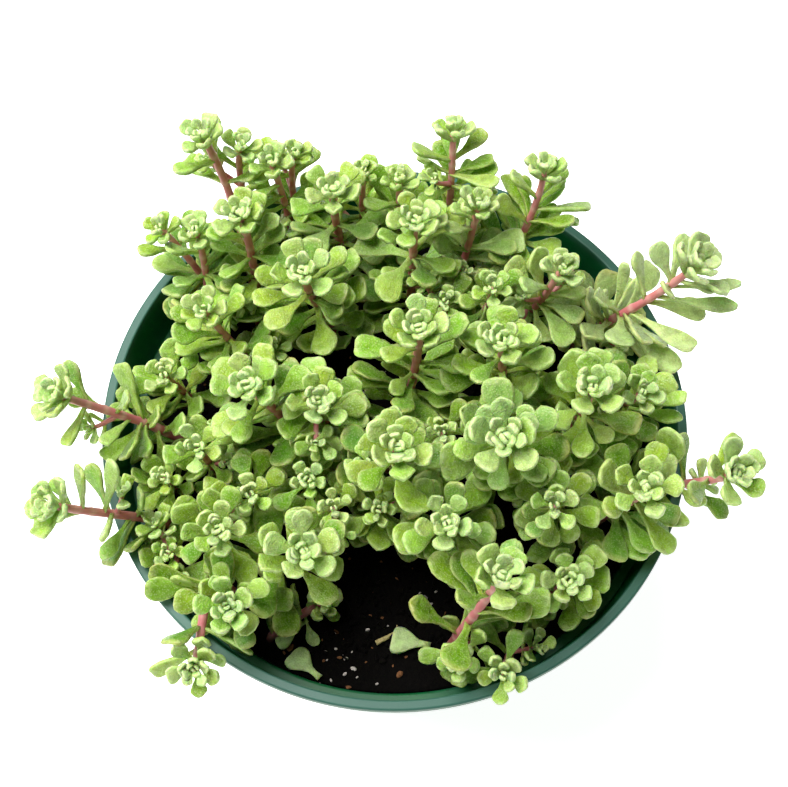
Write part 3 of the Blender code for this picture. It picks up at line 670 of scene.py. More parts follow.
def leaf_on(stem, whorl, side, turn, pitch, **sizes):
    """A leaf on one side of the stem, swung sideways by turn, and leaning from the stem by pitch."""
    ring = stem.ring(whorl.t, whorl.twist)
    root = (ring[side] + ring[(side + 1) % SIDES]) * 0.5
    ahead = stem.along(whorl.t)
    out = Matrix.Rotation(turn, 3, ahead) @ (root - stem.at(whorl.t)).normalized()
    along = (ahead * math.cos(pitch) + out * math.sin(pitch)).normalized()
    across = ahead.cross(out).normalized()
    return Leaf(root, along, across, along.cross(across), **sizes)


def parted_leaf(stem, whorl, side, leaf):
    """The leaf as it is built, but for the very root that it shares with the leaves beside it."""
    ring = stem.ring(whorl.t, whorl.twist)
    left, right = ring[(side + 1) % SIDES], ring[side]
    middle, rise = (left + right) * 0.5, stem.along(whorl.t) * (0.5 * ROOT_THICKNESS)
    blade = leaf_blade(leaf)
    root = (left, middle + rise, right, middle - rise)
    return [point + (end - point) * PARTED_FROM for point, end in zip(root, blade)] + blade, LEAF_FACES


class Clearance:
    """Every piece placed so far, to keep the next ones from crossing them."""

    def __init__(self):
        self.placed = []

    @staticmethod
    def box(points):
        return [Vector([pick(p[k] for p in points) for k in range(3)]) for pick in (min, max)]

    @staticmethod
    def tree(points, faces):
        fans = [(face[0], face[i], face[i + 1]) for face in faces for i in range(1, len(face) - 1)]
        return BVHTree.FromPolygons(points, fans)

    def add(self, owner, points, faces):
        self.placed.append((owner, *self.box(points), self.tree(points, faces)))

    def free(self, points, faces, besides=None, only=None):
        """Whether a piece is clear of every piece, of all besides one owner's, or only of one owner's."""
        low, high = self.box(points)
        near = [
            tree
            for owner, its_low, its_high, tree in self.placed
            if owner != besides
            and only in (None, owner)
            and all(low[k] < its_high[k] and high[k] > its_low[k] for k in range(3))
        ]
        if not near:
            return True
        guard = self.tree(points, faces)
        return not any(guard.overlap(tree) for tree in near)


def full_length(shoot):
    """The length of a grown leaf on a shoot's stem."""
    return LEAST_STEM_LEAF + STEM_LEAF_SHARE * (0.5 * shoot.spread * MM)


def rosette(shoot, stem, draw):
    """The inner and outer leaves of the rosette, as rings of the stem with the leaves wished for there."""
    reach = 0.5 * shoot.spread * MM
    sides = range(0, SIDES, 1 if shoot.spread >= SMALL_SPREAD else 2)
    inner = {side: wish(draw, INNER_LEAF, (0.62, 0.76), reach) for side in sides}
    outer = {side: wish(draw, OUTER_LEAF, (0.88, 1.08), reach) for side in range(SIDES)}
    twist = draw.uniform(0.0, SIDE_ANGLE)
    yield Whorl(stem.below_crown(INNER_DROP), twist + 0.5 * SIDE_ANGLE, inner)
    yield Whorl(stem.below_crown(OUTER_DROP), twist, outer)


def stem_leaves(shoot, stem, draw):
    """The pairs of leaves down the stem."""
    full = full_length(shoot)
    spacing = min(MOST_SPACING, (stem.length - OUTER_DROP) * 0.85 / (shoot.pairs + 0.5))
    for i in range(shoot.pairs):
        wishes = {}
        for side in ((4 * i) % SIDES, (4 * i + 2) % SIDES):
            length = full * draw.uniform(0.84, 1.02) * (1.0 + OLDER_GROWTH * i)
            wishes[side] = wish(draw, STEM_LEAF, length)
        yield Whorl(stem.below_crown(OUTER_DROP + spacing * (i + 0.7)), PAIR_TWIST * (i + 1), wishes)


def ways(shares, pitches, turns):
    """What a leaf tries in turn where it would cross another: turn and pitch in degrees, and its size."""
    return [(turn, pitch, share) for share in shares for pitch in pitches for turn in turns]


WAYS_ROUND = ways((1.0, 0.88, 0.74), (0, 12, -12, 24, -24), (0, 9, -9, 18, -18))
FINE_WAYS = ways((1.0, 0.8), (0, 14, -14), (0, 14))


def settled_leaf(owner, stem, whorl, side, clearance, parting=None):
    """The leaf nearest to the wished one that crosses nothing, or None. A finer leaf has no parting."""
    between, tried = (LEAF_CLEARANCE, WAYS_ROUND) if parting else (FINE_CLEARANCE, FINE_WAYS)
    for turn, pitch, share in tried:
        moved = dict(whorl.wishes[side])
        moved["turn"] += math.radians(turn)
        moved["pitch"] += math.radians(pitch)
        moved["length"] *= share
        moved["width"] *= share
        leaf = leaf_on(stem, whorl, side, **moved)
        if (
            clearance.free(*leaf_guard(leaf, between), besides=owner)
            and clearance.free(*leaf_guard(leaf, OWN_CLEARANCE, CLEAR_FROM), only=owner)
            and (parting is None or parting.free(*parted_leaf(stem, whorl, side, leaf), only=owner))
        ):
            return leaf
    return None


def settled_stem(shoot, draw, clearance, feet):
    """The stem of a shoot, its foot moved a little where it would cross another stem."""
    crown = seen_at(shoot.crown, POT_HEIGHT + shoot.height * MM)
    axis = facing(shoot.crown, shoot.faces)
    spot = seen_at(shoot.foot, SOIL_LEVEL)
    slender = 1.0 if shoot.spread >= SMALL_SPREAD else YOUNG_SLENDER
    first_turn = draw.uniform(0.0, SIDE_ANGLE)
    for step in range(FEET_TRIED):
        turn, away = step * GOLDEN_ANGLE, FOOT_STEP * math.sqrt(step)
        x, y = spot.x + away * math.cos(turn), spot.y + away * math.sin(turn)
        shrink = min(1.0, (BODY_RADIUS - FOOT_MARGIN) / math.hypot(x, y))
        foot = Vector((x * shrink, y * shrink, soil_height(x * shrink, y * shrink)))
        if any((foot - other).length < FOOT_SPACING for other in feet):
            continue
        for rise in STEM_RISES:
            stem = Stem(foot, crown, axis, rise, slender, first_turn)
            if clearance.free(*stem.guard(LEAF_CLEARANCE), besides=shoot.name):
                return stem
    raise ValueError(f"no clear place for the stem of {shoot.name}")


def by_layers(rings):
    """Every shoot's rings in turn: the first of each shoot, then the second of each, and so on down."""
    for layer in range(max(len(found) for found in rings.values())):
        for shoot in SHOOTS:
            for ring in rings[shoot.name][layer : layer + 1]:
                yield layer, shoot.name, ring


def settled_shoots(clearance):
    """Every shoot's stem, and the leaves that found a clear place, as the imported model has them."""
    stems, whorls, leaves, parting = {}, {}, {}, Clearance()
    draws = {shoot.name: random.Random(number) for number, shoot in enumerate(SHOOTS)}
    for shoot in SHOOTS:
        feet = [stem.foot for stem in stems.values()]
        stems[shoot.name] = settled_stem(shoot, draws[shoot.name], clearance, feet)
        clearance.add(shoot.name, *stems[shoot.name].guard(0.0))
    clearance.add("soil", *mesh_of("soil"))
    for shoot in SHOOTS:
        stem, draw = stems[shoot.name], draws[shoot.name]
        whorls[shoot.name] = [*rosette(shoot, stem, draw), *stem_leaves(shoot, stem, draw)]
        leaves[shoot.name] = []
    for _, name, whorl in by_layers(whorls):
        for side in whorl.wishes:
            leaf = settled_leaf(name, stems[name], whorl, side, clearance, parting)
            if leaf:
                clearance.add(name, *leaf_guard(leaf, 0.0))
                parting.add(name, *parted_leaf(stems[name], whorl, side, leaf))
                leaves[name].append((whorl.t, leaf))
    return stems, leaves


def tree_of(places):
    """A search tree of points."""
    tree = KDTree(len(places))
    for number, place in enumerate(places):
        tree.insert(place, number)
    tree.balance()
    return tree


def check_places(name, leaves):
    """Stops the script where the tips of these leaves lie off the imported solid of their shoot."""
    corners = tree_of(mesh_of(name)[0])
    astray = max(corners.find(point)[2] for _, leaf in leaves for point in leaf_blade(leaf))
    if astray > STRAY_LIMIT:
        raise ValueError(f"the leaves of {name} are {astray / MM:.2f} mm off the packed solid")


class Blade(NamedTuple):
    """A leaf as it is dressed: its age runs from 0 in the heart to 1 low on the stem."""

    leaf: Leaf
    age: float
    sway: float  # how far the tip swings sideways, as a share of the length


def packed_age(depth):
    """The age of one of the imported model's leaves, from its depth under the crown."""
    if depth < 0.5 * (INNER_DROP + OUTER_DROP):
        return INNER_AGE
    if depth < OUTER_DROP + GAP:
        return OUTER_AGE
    return STEM_AGE + min(MOST_AGEING, AGEING * depth / MM)


def heart(stem, draw, reach, count):
    """The small plump leaves that stand round the tip of a shoot in crossed pairs, like scoops."""
    ahead, side = stem.frame(1.0)
    offset = draw.uniform(0.0, FULL_TURN)
    for i in range(count):
        share = (i // 2 * 2 + 1) / count
        turn = offset + 0.5 * math.pi * (i // 2) + math.pi * (i % 2)
        turn = turn + draw.uniform(-HEART_SWING, HEART_SWING)
        out = Matrix.Rotation(turn, 3, ahead) @ side
        pitch = math.radians(HEART_PITCH[0] + HEART_PITCH[1] * share + draw.uniform(-6.0, 6.0))
        along = ahead * math.cos(pitch) + out * math.sin(pitch)
        across = ahead.cross(out)
        away = out * (HEART_OUT[0] + HEART_OUT[1] * share) * MM * stem.slender
        root = stem.crown + away - ahead * HEART_SINK
        length = reach * (HEART_LENGTH[0] + HEART_LENGTH[1] * share) * draw.uniform(0.85, 1.15) + HEART_SINK
        sizes = dict(length=length, width=length * draw.uniform(0.60, 0.74), thickness=HEART_PLUMP * length)
        leaf = Leaf(root, along, across, along.cross(across), bend=0.10, cup=0.12, **sizes)
        yield Blade(leaf, HEART_AGE * share, draw.uniform(-0.08, 0.08))


def fuller_rosette(shoot, stem, draw):
    """Leaves between the inner and outer ones of a large rosette, and under it, with each ring's age."""
    reach = 0.5 * shoot.spread * MM
    twist = draw.uniform(0.0, SIDE_ANGLE)
    if shoot.spread > MIDDLE_SPREAD:
        sides = [side for side in range(SIDES) if draw.random() < MIDDLE_CHANCE]
        middle = {side: wish(draw, MIDDLE_LEAF, reach * draw.uniform(0.78, 0.92)) for side in sides}
        yield Whorl(stem.below_crown(MIDDLE_DROP), twist, middle), MIDDLE_AGE
    sides = [side for side in range(SIDES) if draw.random() < SKIRT_CHANCE]
    skirt = {side: wish(draw, SKIRT_LEAF, reach * draw.uniform(0.85, 1.10)) for side in sides}
    yield Whorl(stem.below_crown(SKIRT_DROP), twist + 0.5 * SIDE_ANGLE, skirt), SKIRT_AGE


def lower_leaves(shoot, stem, draw):
    """The broad older leaves low on the stem, below its bare neck, with each ring's age."""
    full = full_length(shoot)
    drop, twist = BARE_NECK, draw.uniform(0.0, SIDE_ANGLE)
    while drop < LEAFY_DEPTH * stem.length:
        t = stem.below_crown(drop)
        if stem.at(t).xy.length <= LEAFY_REACH:
            wishes = {}
            for side in range(SIDES):
                if draw.random() < LOW_CHANCE:
                    wishes[side] = wish(draw, LOW_LEAF, full * draw.uniform(0.75, 1.25))
            yield Whorl(t, twist, wishes), min(1.0, STEM_AGE + (1.0 - STEM_AGE) * drop / stem.length)
            twist += 2.0 * GOLDEN_ANGLE
        drop += RING_SPACING


def young_rosette(stem, draw):
    """The few leaves of a young side shoot, with each ring's age."""
    size = draw.uniform(*YOUNG_SIZE) * MM
    twist = draw.uniform(0.0, SIDE_ANGLE)
    inner = {side: wish(draw, YOUNG_LEAF, 0.62 * size) for side in (0, 2, 3)}
    outer = {side: wish(draw, FINE_LEAF, size * draw.uniform(0.85, 1.1)) for side in range(SIDES)}
    older = {side: wish(draw, OLDER_YOUNG_LEAF, size * draw.uniform(1.0, 1.3)) for side in (0, 2)}
    twists = (twist + 0.5 * SIDE_ANGLE, twist, twist + 0.3)
    for drop, twisted, wishes, age in zip(YOUNG_DROPS, twists, (inner, outer, older), YOUNG_AGES):
        yield Whorl(stem.below_crown(drop), twisted, wishes), age


def side_stem(stem, draw):
    """The short stem of a young side shoot, in the corner between a leaf and the main stem."""
    t = draw.uniform(*SIDE_STEM_PLACE)
    _, side = stem.frame(t, draw.uniform(0.0, FULL_TURN))
    reach = draw.uniform(*SIDE_STEM_REACH) * MM
    crown = stem.at(t) + (side * draw.uniform(0.6, 1.0) + UP * 0.7).normalized() * reach
    axis = (UP + side * draw.uniform(0.1, 0.6)).normalized()
    return Stem(stem.at(t), crown, axis, 0.15, SIDE_STEM_SLENDER, draw.uniform(0.0, FULL_TURN))


def flat_leaf(root, tip, width, thickness):
    """A leaf that lies flat between two points."""
    along = (tip - root).normalized()
    across = UP.cross(along).normalized()
    return Leaf(root, along, across, along.cross(across), (tip - root).length, width, thickness, 0.05, 0.1)


def lying_leaf(root_pixel, tip_pixel):
    """A dropped leaf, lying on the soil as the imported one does."""
    root, tip = (seen_at(pixel, SOIL_LEVEL) for pixel in (root_pixel, tip_pixel))
    highest = max(soil_height(*(root + (tip - root) * share).xy) for share in (0.0, 0.5, 1.0))
    root.z = tip.z = highest + 0.5 * DROPPED_THICKNESS + 2.0 * GAP
    return flat_leaf(root, tip, DROPPED_WIDTH, DROPPED_THICKNESS)


def seen_leaf(stem, t, pixel, height, width, clearance):
    """The leaf from share t of a stem to where the picture shows its tip, or None where it isn't clear."""
    for lift in SEEN_LEAF_LIFTS:
        tip = seen_at(pixel, POT_HEIGHT + height * MM + lift)
        leaf = flat_leaf(stem.at(t), tip, width * MM, LEAF_THICKNESS)
        if clearance.free(*leaf_guard(leaf, FINE_CLEARANCE, 0.3)):
            return leaf
    return None


def over_bare_soil(leaf):
    """Whether the picture shows the tip of this leaf in front of the bare soil."""
    place = pixel_of(leaf.root + leaf.along * leaf.length)
    return sum(((place[k] - BARE_CENTRE[k]) / BARE_REACH[k]) ** 2 for k in (0, 1)) < 1.0


class Necks:
    """The bare necks of the shoots, as the picture shows them."""

    def __init__(self, stems):
        self.places = []
        for name, stem in stems.items():
            for i in range(NECK_STEPS.get(name, LEAST_NECK_STEPS)):
                self.places.append(pixel_of(stem.at(stem.below_crown(NECK_FROM + i * NECK_STEP))))
        self.tree = tree_of([(x, y, 0.0) for x, y, _ in self.places])

    def hidden_by(self, leaf):
        """Whether a leaf stands in front of a neck."""
        for share in (0.25, 0.4, 0.55, 0.7, 0.85, 1.0):
            for aside in (-0.4, -0.2, 0.0, 0.2, 0.4):
                point = leaf.root + leaf.along * (leaf.length * share) + leaf.across * (leaf.width * aside)
                x, y, depth = pixel_of(point)
                near = self.tree.find_range((x, y, 0.0), NECK_PIXELS)
                if any(self.places[number][2] > depth for _, number, _ in near):
                    return True
        return False


def settled_blades(owner, stem, whorl, age, clearance, necks, draw):
    """The finer leaves of a ring that find a clear place, rolled about their length where there is room."""
    found = []
    for side in whorl.wishes:
        leaf = settled_leaf(owner, stem, whorl, side, clearance)
        if leaf and not over_bare_soil(leaf) and not necks.hidden_by(leaf):
            roll = Matrix.Rotation(draw.uniform(-MOST_ROLL, MOST_ROLL), 3, leaf.along)
            rolled = leaf._replace(across=roll @ leaf.across, face=roll @ leaf.face)
            if clearance.free(*leaf_guard(rolled, FINE_CLEARANCE, CLEAR_FROM)):
                leaf = rolled
            clearance.add(owner, *leaf_guard(leaf, 0.0))
            found.append(Blade(leaf, age, draw.uniform(-0.12, 0.12)))
    return found


def young_shoot(name, draw, main_stem, clearance, necks):
    """The stem and blades of a young side shoot, or None where too few of its leaves find room."""
    stem = side_stem(main_stem, draw)
    if not clearance.free(*stem.guard(FINE_CLEARANCE, 2)):
        return None
    before, found = len(clearance.placed), []
    for whorl, age in young_rosette(stem, draw):
        found += settled_blades(name, stem, whorl, age, clearance, necks, draw)
    if len(found) < LEAST_YOUNG_LEAVES:
        del clearance.placed[before:]
        return None
    clearance.add(name, *stem.guard(0.0, 2))
    return stem, [*found, *heart(stem, draw, YOUNG_HEART, YOUNG_HEART_LEAVES)]


@functools.cache
def grown_plan():
    """Every shoot's stem, side stems and blades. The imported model's leaves come first, then finer ones."""
    clearance = Clearance()
    for name in ("pot", *DROPPED_LEAVES):
        clearance.add(name, *mesh_of(name))
    stems, leaves = settled_shoots(clearance)
    necks, extra = Necks(stems), {}
    blades = {shoot.name: [] for shoot in SHOOTS}
    side_stems = {shoot.name: [] for shoot in SHOOTS}
    for number, shoot in enumerate(SHOOTS):
        check_places(shoot.name, leaves[shoot.name])
        draw, stem = random.Random(PLAN_SEED + number), stems[shoot.name]
        for t, leaf in leaves[shoot.name]:
            age = packed_age((1.0 - t) * stem.length)
            blades[shoot.name].append(Blade(leaf, age, draw.uniform(-0.04, 0.04)))
        count = HEART_LEAVES if shoot.spread >= SMALL_SPREAD else HEART_LEAVES - 2
        blades[shoot.name] += heart(stem, draw, 0.5 * shoot.spread * MM, count)
        extra[shoot.name] = [*fuller_rosette(shoot, stem, draw), *lower_leaves(shoot, stem, draw)]
    for name, rows in SEEN_LEAVES.items():
        for *place, age in rows:
            leaf = seen_leaf(stems[name], *place, clearance)
            if leaf:
                clearance.add(name, *leaf_guard(leaf, 0.0, 0.1))
                blades[name].append(Blade(leaf, age, 0.06))
    draws = {}
    for layer, name, (whorl, age) in by_layers(extra):
        draw = draws.setdefault((name, layer), random.Random(f"{name} {layer}"))
        blades[name] += settled_blades(name, stems[name], whorl, age, clearance, necks, draw)
    for attempt in range(SPRIGS_TRIED):
        for name, stem in stems.items():
            young = young_shoot(name, random.Random(f"{name} side {attempt}"), stem, clearance, necks)
            if young:
                side_stems[name].append(young[0])
                blades[name] += young[1]
    return stems, side_stems, blades


def srgb(code):
    """The linear colour of an sRGB hex code."""
    parts = [int(code[i : i + 2], 16) / 255.0 for i in (1, 3, 5)]
    return tuple(c / 12.92 if c <= 0.04045 else ((c + 0.055) / 1.055) ** 2.4 for c in parts)


def fill(tree, socket, value):
    """Sets an input, or links it to another node's output."""
    if isinstance(value, bpy.types.NodeSocket):
        tree.links.new(value, socket)
    else:
        socket.default_value = (*value[:3], 1.0) if socket.type == "RGBA" else value


def add(tree, kind, *values, out=0, **named):
    """Adds a node, and gives the output of this name or number, or all of them for None.

    A kind is a shader node's unless it says otherwise, and may end in the node's operation. The values go to
    the inputs in use, in order. A name with a capital is an input, stops and line are the points of a colour
    ramp and of a curve, and any other name is a setting.
    """
    kind, *operation = kind.split()
    node = tree.nodes.new(kind if "Node" in kind else "ShaderNode" + kind)
    for one in operation:
        node.operation = one
    for name, value in named.items():
        if name == "stops":
            for place, _ in value[1:-1]:
                node.color_ramp.elements.new(place)
            for element, (place, colour) in zip(node.color_ramp.elements, value):
                element.position, element.color = place, (*colour, 1.0)
        elif name == "line":
            curve = node.mapping.curves[0]
            for place, height in value[1:-1]:
                curve.points.new(place, height)
            for point, place in zip(curve.points, value):
                point.location = place
            node.mapping.update()
        elif name.islower():
            setattr(node, name, value)
    for socket, value in zip([socket for socket in node.inputs if socket.enabled], values):
        fill(tree, socket, value)
    for name, value in named.items():
        if not name.islower():
            fill(tree, node.inputs[name.replace("_", " ")], value)
    if isinstance(out, int):
        return [socket for socket in node.outputs if socket.enabled][out] if node.outputs else None
    return node.outputs[out] if out else node.outputs


def finish(name, look, **constants):
    """A material whose Principled shader has these constant values, and the links that look makes."""
    made = bpy.data.materials.new(name)
    made.use_nodes = True
    tree = made.node_tree
    shader = tree.nodes["Principled BSDF"]
    for socket, value in {**constants, **look(functools.partial(add, tree))}.items():
        fill(tree, shader.inputs[socket.replace("_", " ")], value)
    return made


def leaf_skin(settings):
    """Living stonecrop leaf: water-filled flesh under a waxy, pimpled skin.

    The flesh lets light through, so that shaded leaves stay green. The wax is paler on the rims and on the
    young leaves of the heart. The skin's pimples, 0.3 mm apart on a real leaf, are drawn 0.5 mm apart, so
    that they show; their pale dots are partly the pimples' own paleness and partly painted glints. The
    leaves of the shoots that stand out of the shade are painted paler, as painted light.
    """

    def look(add):
        place = add("TexCoord", out="Object")
        names = ("age", "tint", "leaf_edge", "leaf_u", "wax")
        age, tint, edge, along, wax = (add("Attribute", attribute_name=name, out="Fac") for name in names)
        youth = add("MapRange", age, To_Min=1.0, To_Max=0.65)
        varied = add("Math MULTIPLY_ADD", tint, 0.22, age)
        stops = [(0.0, settings.heart), (0.3, settings.young), (0.62, settings.grown), (1.0, settings.old)]
        ripe = add("ValToRGB", varied, stops=stops)
        own = add("TexWhiteNoise", W=tint, noise_dimensions="1D")
        hue = add("MapRange", own, To_Min=0.474, To_Max=0.510)
        settled = add("MapRange", age, From_Max=0.5, To_Min=0.2)
        skin = add("HueSaturation", Hue=hue, Fac=settled, Color=ripe)
        patch = add("TexNoise", place, Scale=1.0 / (26.0 * MM), Detail=1.0)
        waxy = add("MapRange", patch, From_Min=0.48, From_Max=0.72, To_Max=0.42)
        # The bloom is bluish wax in patches; the wax attribute and colour are painted light on lit shoots.
        for share, coat in ((waxy, settings.bloom), (wax, settings.wax)):
            skin = add("Mix", share, skin, coat, data_type="RGBA")
        cloud = add("TexNoise", place, Scale=1.0 / (2.4 * MM), Detail=3.0)
        light = add("MapRange", cloud, 0.3, 0.7, 0.70, 1.20)
        skin = add("Mix", 1.0, skin, light, data_type="RGBA", blend_type="MULTIPLY")
        foot = add("MapRange", along, 0.34, 0.0, 0.0, 0.55)
        # Pale dots on the pimples: partly their own paleness, partly painted glints of the skin.
        pimples = add("TexVoronoi", place, Scale=1.0 / settings.pimple_spacing)
        pale_pimples_and_painted_glints = add("Math MULTIPLY", add("MapRange", pimples, 0.08, 0.5, 0.52, 0.0), youth)
        rim = add("Math MAXIMUM", edge, add("MapRange", along, 0.86, 1.0))
        worn = add("TexNoise", place, Scale=1.0 / (1.6 * MM), Detail=2.0)
        frost = add("Math MULTIPLY", rim, add("MapRange", worn, 0.3, 0.7, 0.2, 1.0))
        frost = add("Math MULTIPLY", frost, youth)
        tired = add("MapRange", varied, From_Min=0.68, From_Max=1.1, To_Max=0.4)
        burnt = add("Math MULTIPLY", tired, rim)
        coats = ((foot, settings.stalk), (pale_pimples_and_painted_glints, settings.rim), (frost, settings.rim), (burnt, settings.burnt))
        for share, coat in coats:
            skin = add("Mix", share, skin, coat, data_type="RGBA")
        height = add("Math MULTIPLY_ADD", pimples, -0.5, worn)
        return dict(
            Base_Color=skin,
            Normal=add("Bump", Height=height, Strength=0.8, Distance=0.35 * MM),
            Roughness=add("MapRange", worn, To_Min=0.18, To_Max=0.42),
        )

    return finish(
        "living_leaf", look, Subsurface_Weight=0.3, Subsurface_Radius=(0.45, 1.0, 0.1),
        Subsurface_Scale=1.3 * MM, Specular_IOR_Level=0.36, IOR=1.42, Sheen_Weight=0.03, Sheen_Roughness=0.45,
    )


def stem_skin(settings):
    """Living stonecrop stem: a smooth fleshy skin, red where it is in the sun and corky brown low down.

    It was grown, so it has streaks along it and a pale scar wherever a leaf has dropped.
    """

    def look(add):
        along, scar = (add("Attribute", attribute_name=name, out="Fac") for name in ("stem_t", "scar"))
        flat = add("Mapping", add("TexCoord", out="Object"), Scale=(1.0, 1.0, 0.18))
        streak = add("TexNoise", flat, Scale=1.0 / (0.9 * MM), Detail=3.0)
        varied = add("Math ADD", along, add("Math MULTIPLY_ADD", streak, 0.35, -0.17))
        stops = [(0.0, settings.foot), (0.3, settings.low), (0.65, settings.red), (1.0, settings.top)]
        skin = add("ValToRGB", varied, stops=stops)
        return dict(
            Base_Color=add("Mix", add("Math MULTIPLY", scar, 0.55), skin, settings.scar, data_type="RGBA"),
            Normal=add("Bump", Height=streak, Strength=0.5, Distance=0.2 * MM),
        )

    return finish(
        "living_stem", look, Roughness=0.48, Subsurface_Weight=0.1, Subsurface_Radius=(1.0, 0.4, 0.25),
        Subsurface_Scale=1.0 * MM,
    )


def earth(name, dark, light, grain, roughness, coarse):
    """Potting mix and what lies in it: broken organic or mineral bits, matt all over.

    The clods of fine peat are a millimetre or two across, so the colour and the relief change at that size.
    """

    def look(add):
        place = add("TexCoord", out="Object")
        fine = add("TexNoise", place, Scale=1.0 / grain, Detail=5.0, Roughness=0.65)
        mixed = add("Math MULTIPLY_ADD", add("Attribute", attribute_name="tint", out="Fac"), 0.6, fine)
        spread = add("MapRange", mixed, From_Min=0.35, From_Max=1.1)
        pits = add("TexVoronoi", place, Scale=1.0 / coarse)
        height = add("Math MULTIPLY_ADD", pits, 0.7, fine)
        return dict(
            Base_Color=add("Mix", spread, dark, light, data_type="RGBA"),
            Normal=add("Bump", Height=height, Strength=0.9, Distance=0.4 * MM),
        )

    return finish(name, look, Roughness=roughness, Specular_IOR_Level=0.12)


def pot_plastic(settings):
    """Polypropylene, injection moulded: waxy and half glossy, with the lamp's reflection painted on the lip.

    The mould leaves lines round the wall, which are 0.3 mm apart on a real pot and are drawn 1.4 mm apart, so
    that they show. Watering leaves a dull film, and specks of mix inside, which near the soil are spread wider
    as painted shade of the inner wall.
    """

    def look(add):
        place = add("TexCoord", out="Object")
        height = add("SeparateXYZ", place, out="Z")
        rings = add(
            "TexWave", place, Scale=WAVE_BAND / MOULD_LINES, Distortion=0.6, wave_type="BANDS",
            bands_direction="Z", out="Fac",
        )
        grain = add("TexNoise", place, Scale=1.0 / (0.8 * MM), Detail=3.0)
        film = add("TexNoise", place, Scale=1.0 / (14.0 * MM), Detail=5.0)
        washed = add("MapRange", film, From_Min=0.42, From_Max=0.72, To_Max=0.3)
        # Painted reflection of the lamp on the lip: its top is mixed towards the film colour.
        painted_lip_reflection = add("MapRange", height, From_Min=POT_HEIGHT - LIP_DEPTH, From_Max=POT_HEIGHT, To_Max=0.7)
        film_and_painted_reflection = add("Math MAXIMUM", washed, painted_lip_reflection)
        # Specks of mix on the inner wall near the soil line, spread wider there as painted shade of the wall.
        above_soil = add("Math SUBTRACT", height, POT_HEIGHT - SOIL_DROP)
        near = add("Math ABSOLUTE", above_soil)
        low = add("MapRange", near, From_Min=5.0 * MM, From_Max=0.5 * MM, To_Max=0.7)
        flat = add("VectorMath MULTIPLY", place, (1.0, 1.0, 0.0))
        inside = add("Math LESS_THAN", add("VectorMath LENGTH", flat), BODY_RADIUS + 0.5 * WALL)
        specks = add("MapRange", grain, From_Min=0.56, From_Max=0.64)
        specks_and_painted_shade = add("Math MULTIPLY", add("Math MULTIPLY", low, inside), specks)
        relief = add("Math MULTIPLY_ADD", rings, 0.12, grain)
        # The film colour paints both the dull film in patches and the lamp's reflection on the lip.
        wall = settings.plastic
        for share, coat in ((film_and_painted_reflection, settings.film), (specks_and_painted_shade, settings.specks_and_painted_shade)):
            wall = add("Mix", share, wall, coat, data_type="RGBA")
        return dict(
            Base_Color=wall,
            Normal=add("Bump", Height=relief, Strength=0.2, Distance=0.1 * MM),
            Roughness=add("MapRange", film, To_Min=0.28, To_Max=0.52),
        )

    return finish("moulded_polypropylene", look, IOR=1.49, Specular_IOR_Level=0.34)


def floor_paper(settings):
    """Matt white paper: rolled, with a faint tooth that keeps it from shining."""

    def look(add):
        tooth = add("TexNoise", add("TexCoord", out="Object"), Scale=1.0 / (0.6 * MM))
        return dict(Normal=add("Bump", Height=tooth, Strength=0.1, Distance=0.05 * MM))

    return finish(
        "matt_paper", look, Base_Color=settings.floor, Roughness=0.9, Specular_IOR_Level=0.2,
        Emission_Color=(1.0, 1.0, 1.0), Emission_Strength=settings.glow,
    )


def studio_walls(settings):
    """White walls, bright where they meet the floor and dimmer higher up."""
    world = bpy.data.worlds.new("studio")
    world.use_nodes = True
    tree = world.node_tree
    rise = add(tree, "SeparateXYZ", add(tree, "TexCoord", out="Generated"), out="Z")
    background = tree.nodes["Background"].inputs
    fill(tree, background["Color"], (1.0, 1.0, 1.0))
    fill(tree, background["Strength"], add(tree, "MapRange", rise, 0.07, 0.28, 0.95, settings.fill))
    return world


def new_tree(name, kinds):
    """A Geometry Nodes tree with named inputs of these kinds, what adds its nodes, and the given inputs."""
    tree = bpy.data.node_groups.new(name, "GeometryNodeTree")
    for label, kind in {"Geometry": "Geometry", **kinds, "Material": "Material"}.items():
        tree.interface.new_socket(label, in_out="INPUT", socket_type="NodeSocket" + kind)
    tree.interface.new_socket("Geometry", in_out="OUTPUT", socket_type="NodeSocketGeometry")
    tree_add = functools.partial(add, tree)
    return tree, tree_add, tree_add("NodeGroupInput", out=None)


def end_tree(add, shape, given, amount, scale, detail=1.0, smooth=True):
    """The end of a tree: a shape made uneven by the inputs amount and scale, real, and in its material."""
    uneven = add("TexNoise", Scale=given[scale], Detail=detail, out="Color")
    centred = add("VectorMath SUBTRACT", uneven, (0.5, 0.5, 0.5))
    shape = add("GeometryNodeSetPosition", shape, Offset=add("VectorMath SCALE", centred, given[amount]))
    if smooth:
        shape = add("GeometryNodeSetShadeSmooth", shape)
    shape = add("GeometryNodeRealizeInstances", shape)
    add("NodeGroupOutput", add("GeometryNodeSetMaterial", shape, Material=given["Material"]))


# A point of a leaf lies this way from its root, by sums of directions that its blank takes shares of.
LEAF_STEPS = ("along", "across", "pinch", "face", "lift", "cup", "hollow")
LEAF_SPARE = ("root", *LEAF_STEPS, *("share_" + step for step in LEAF_STEPS))


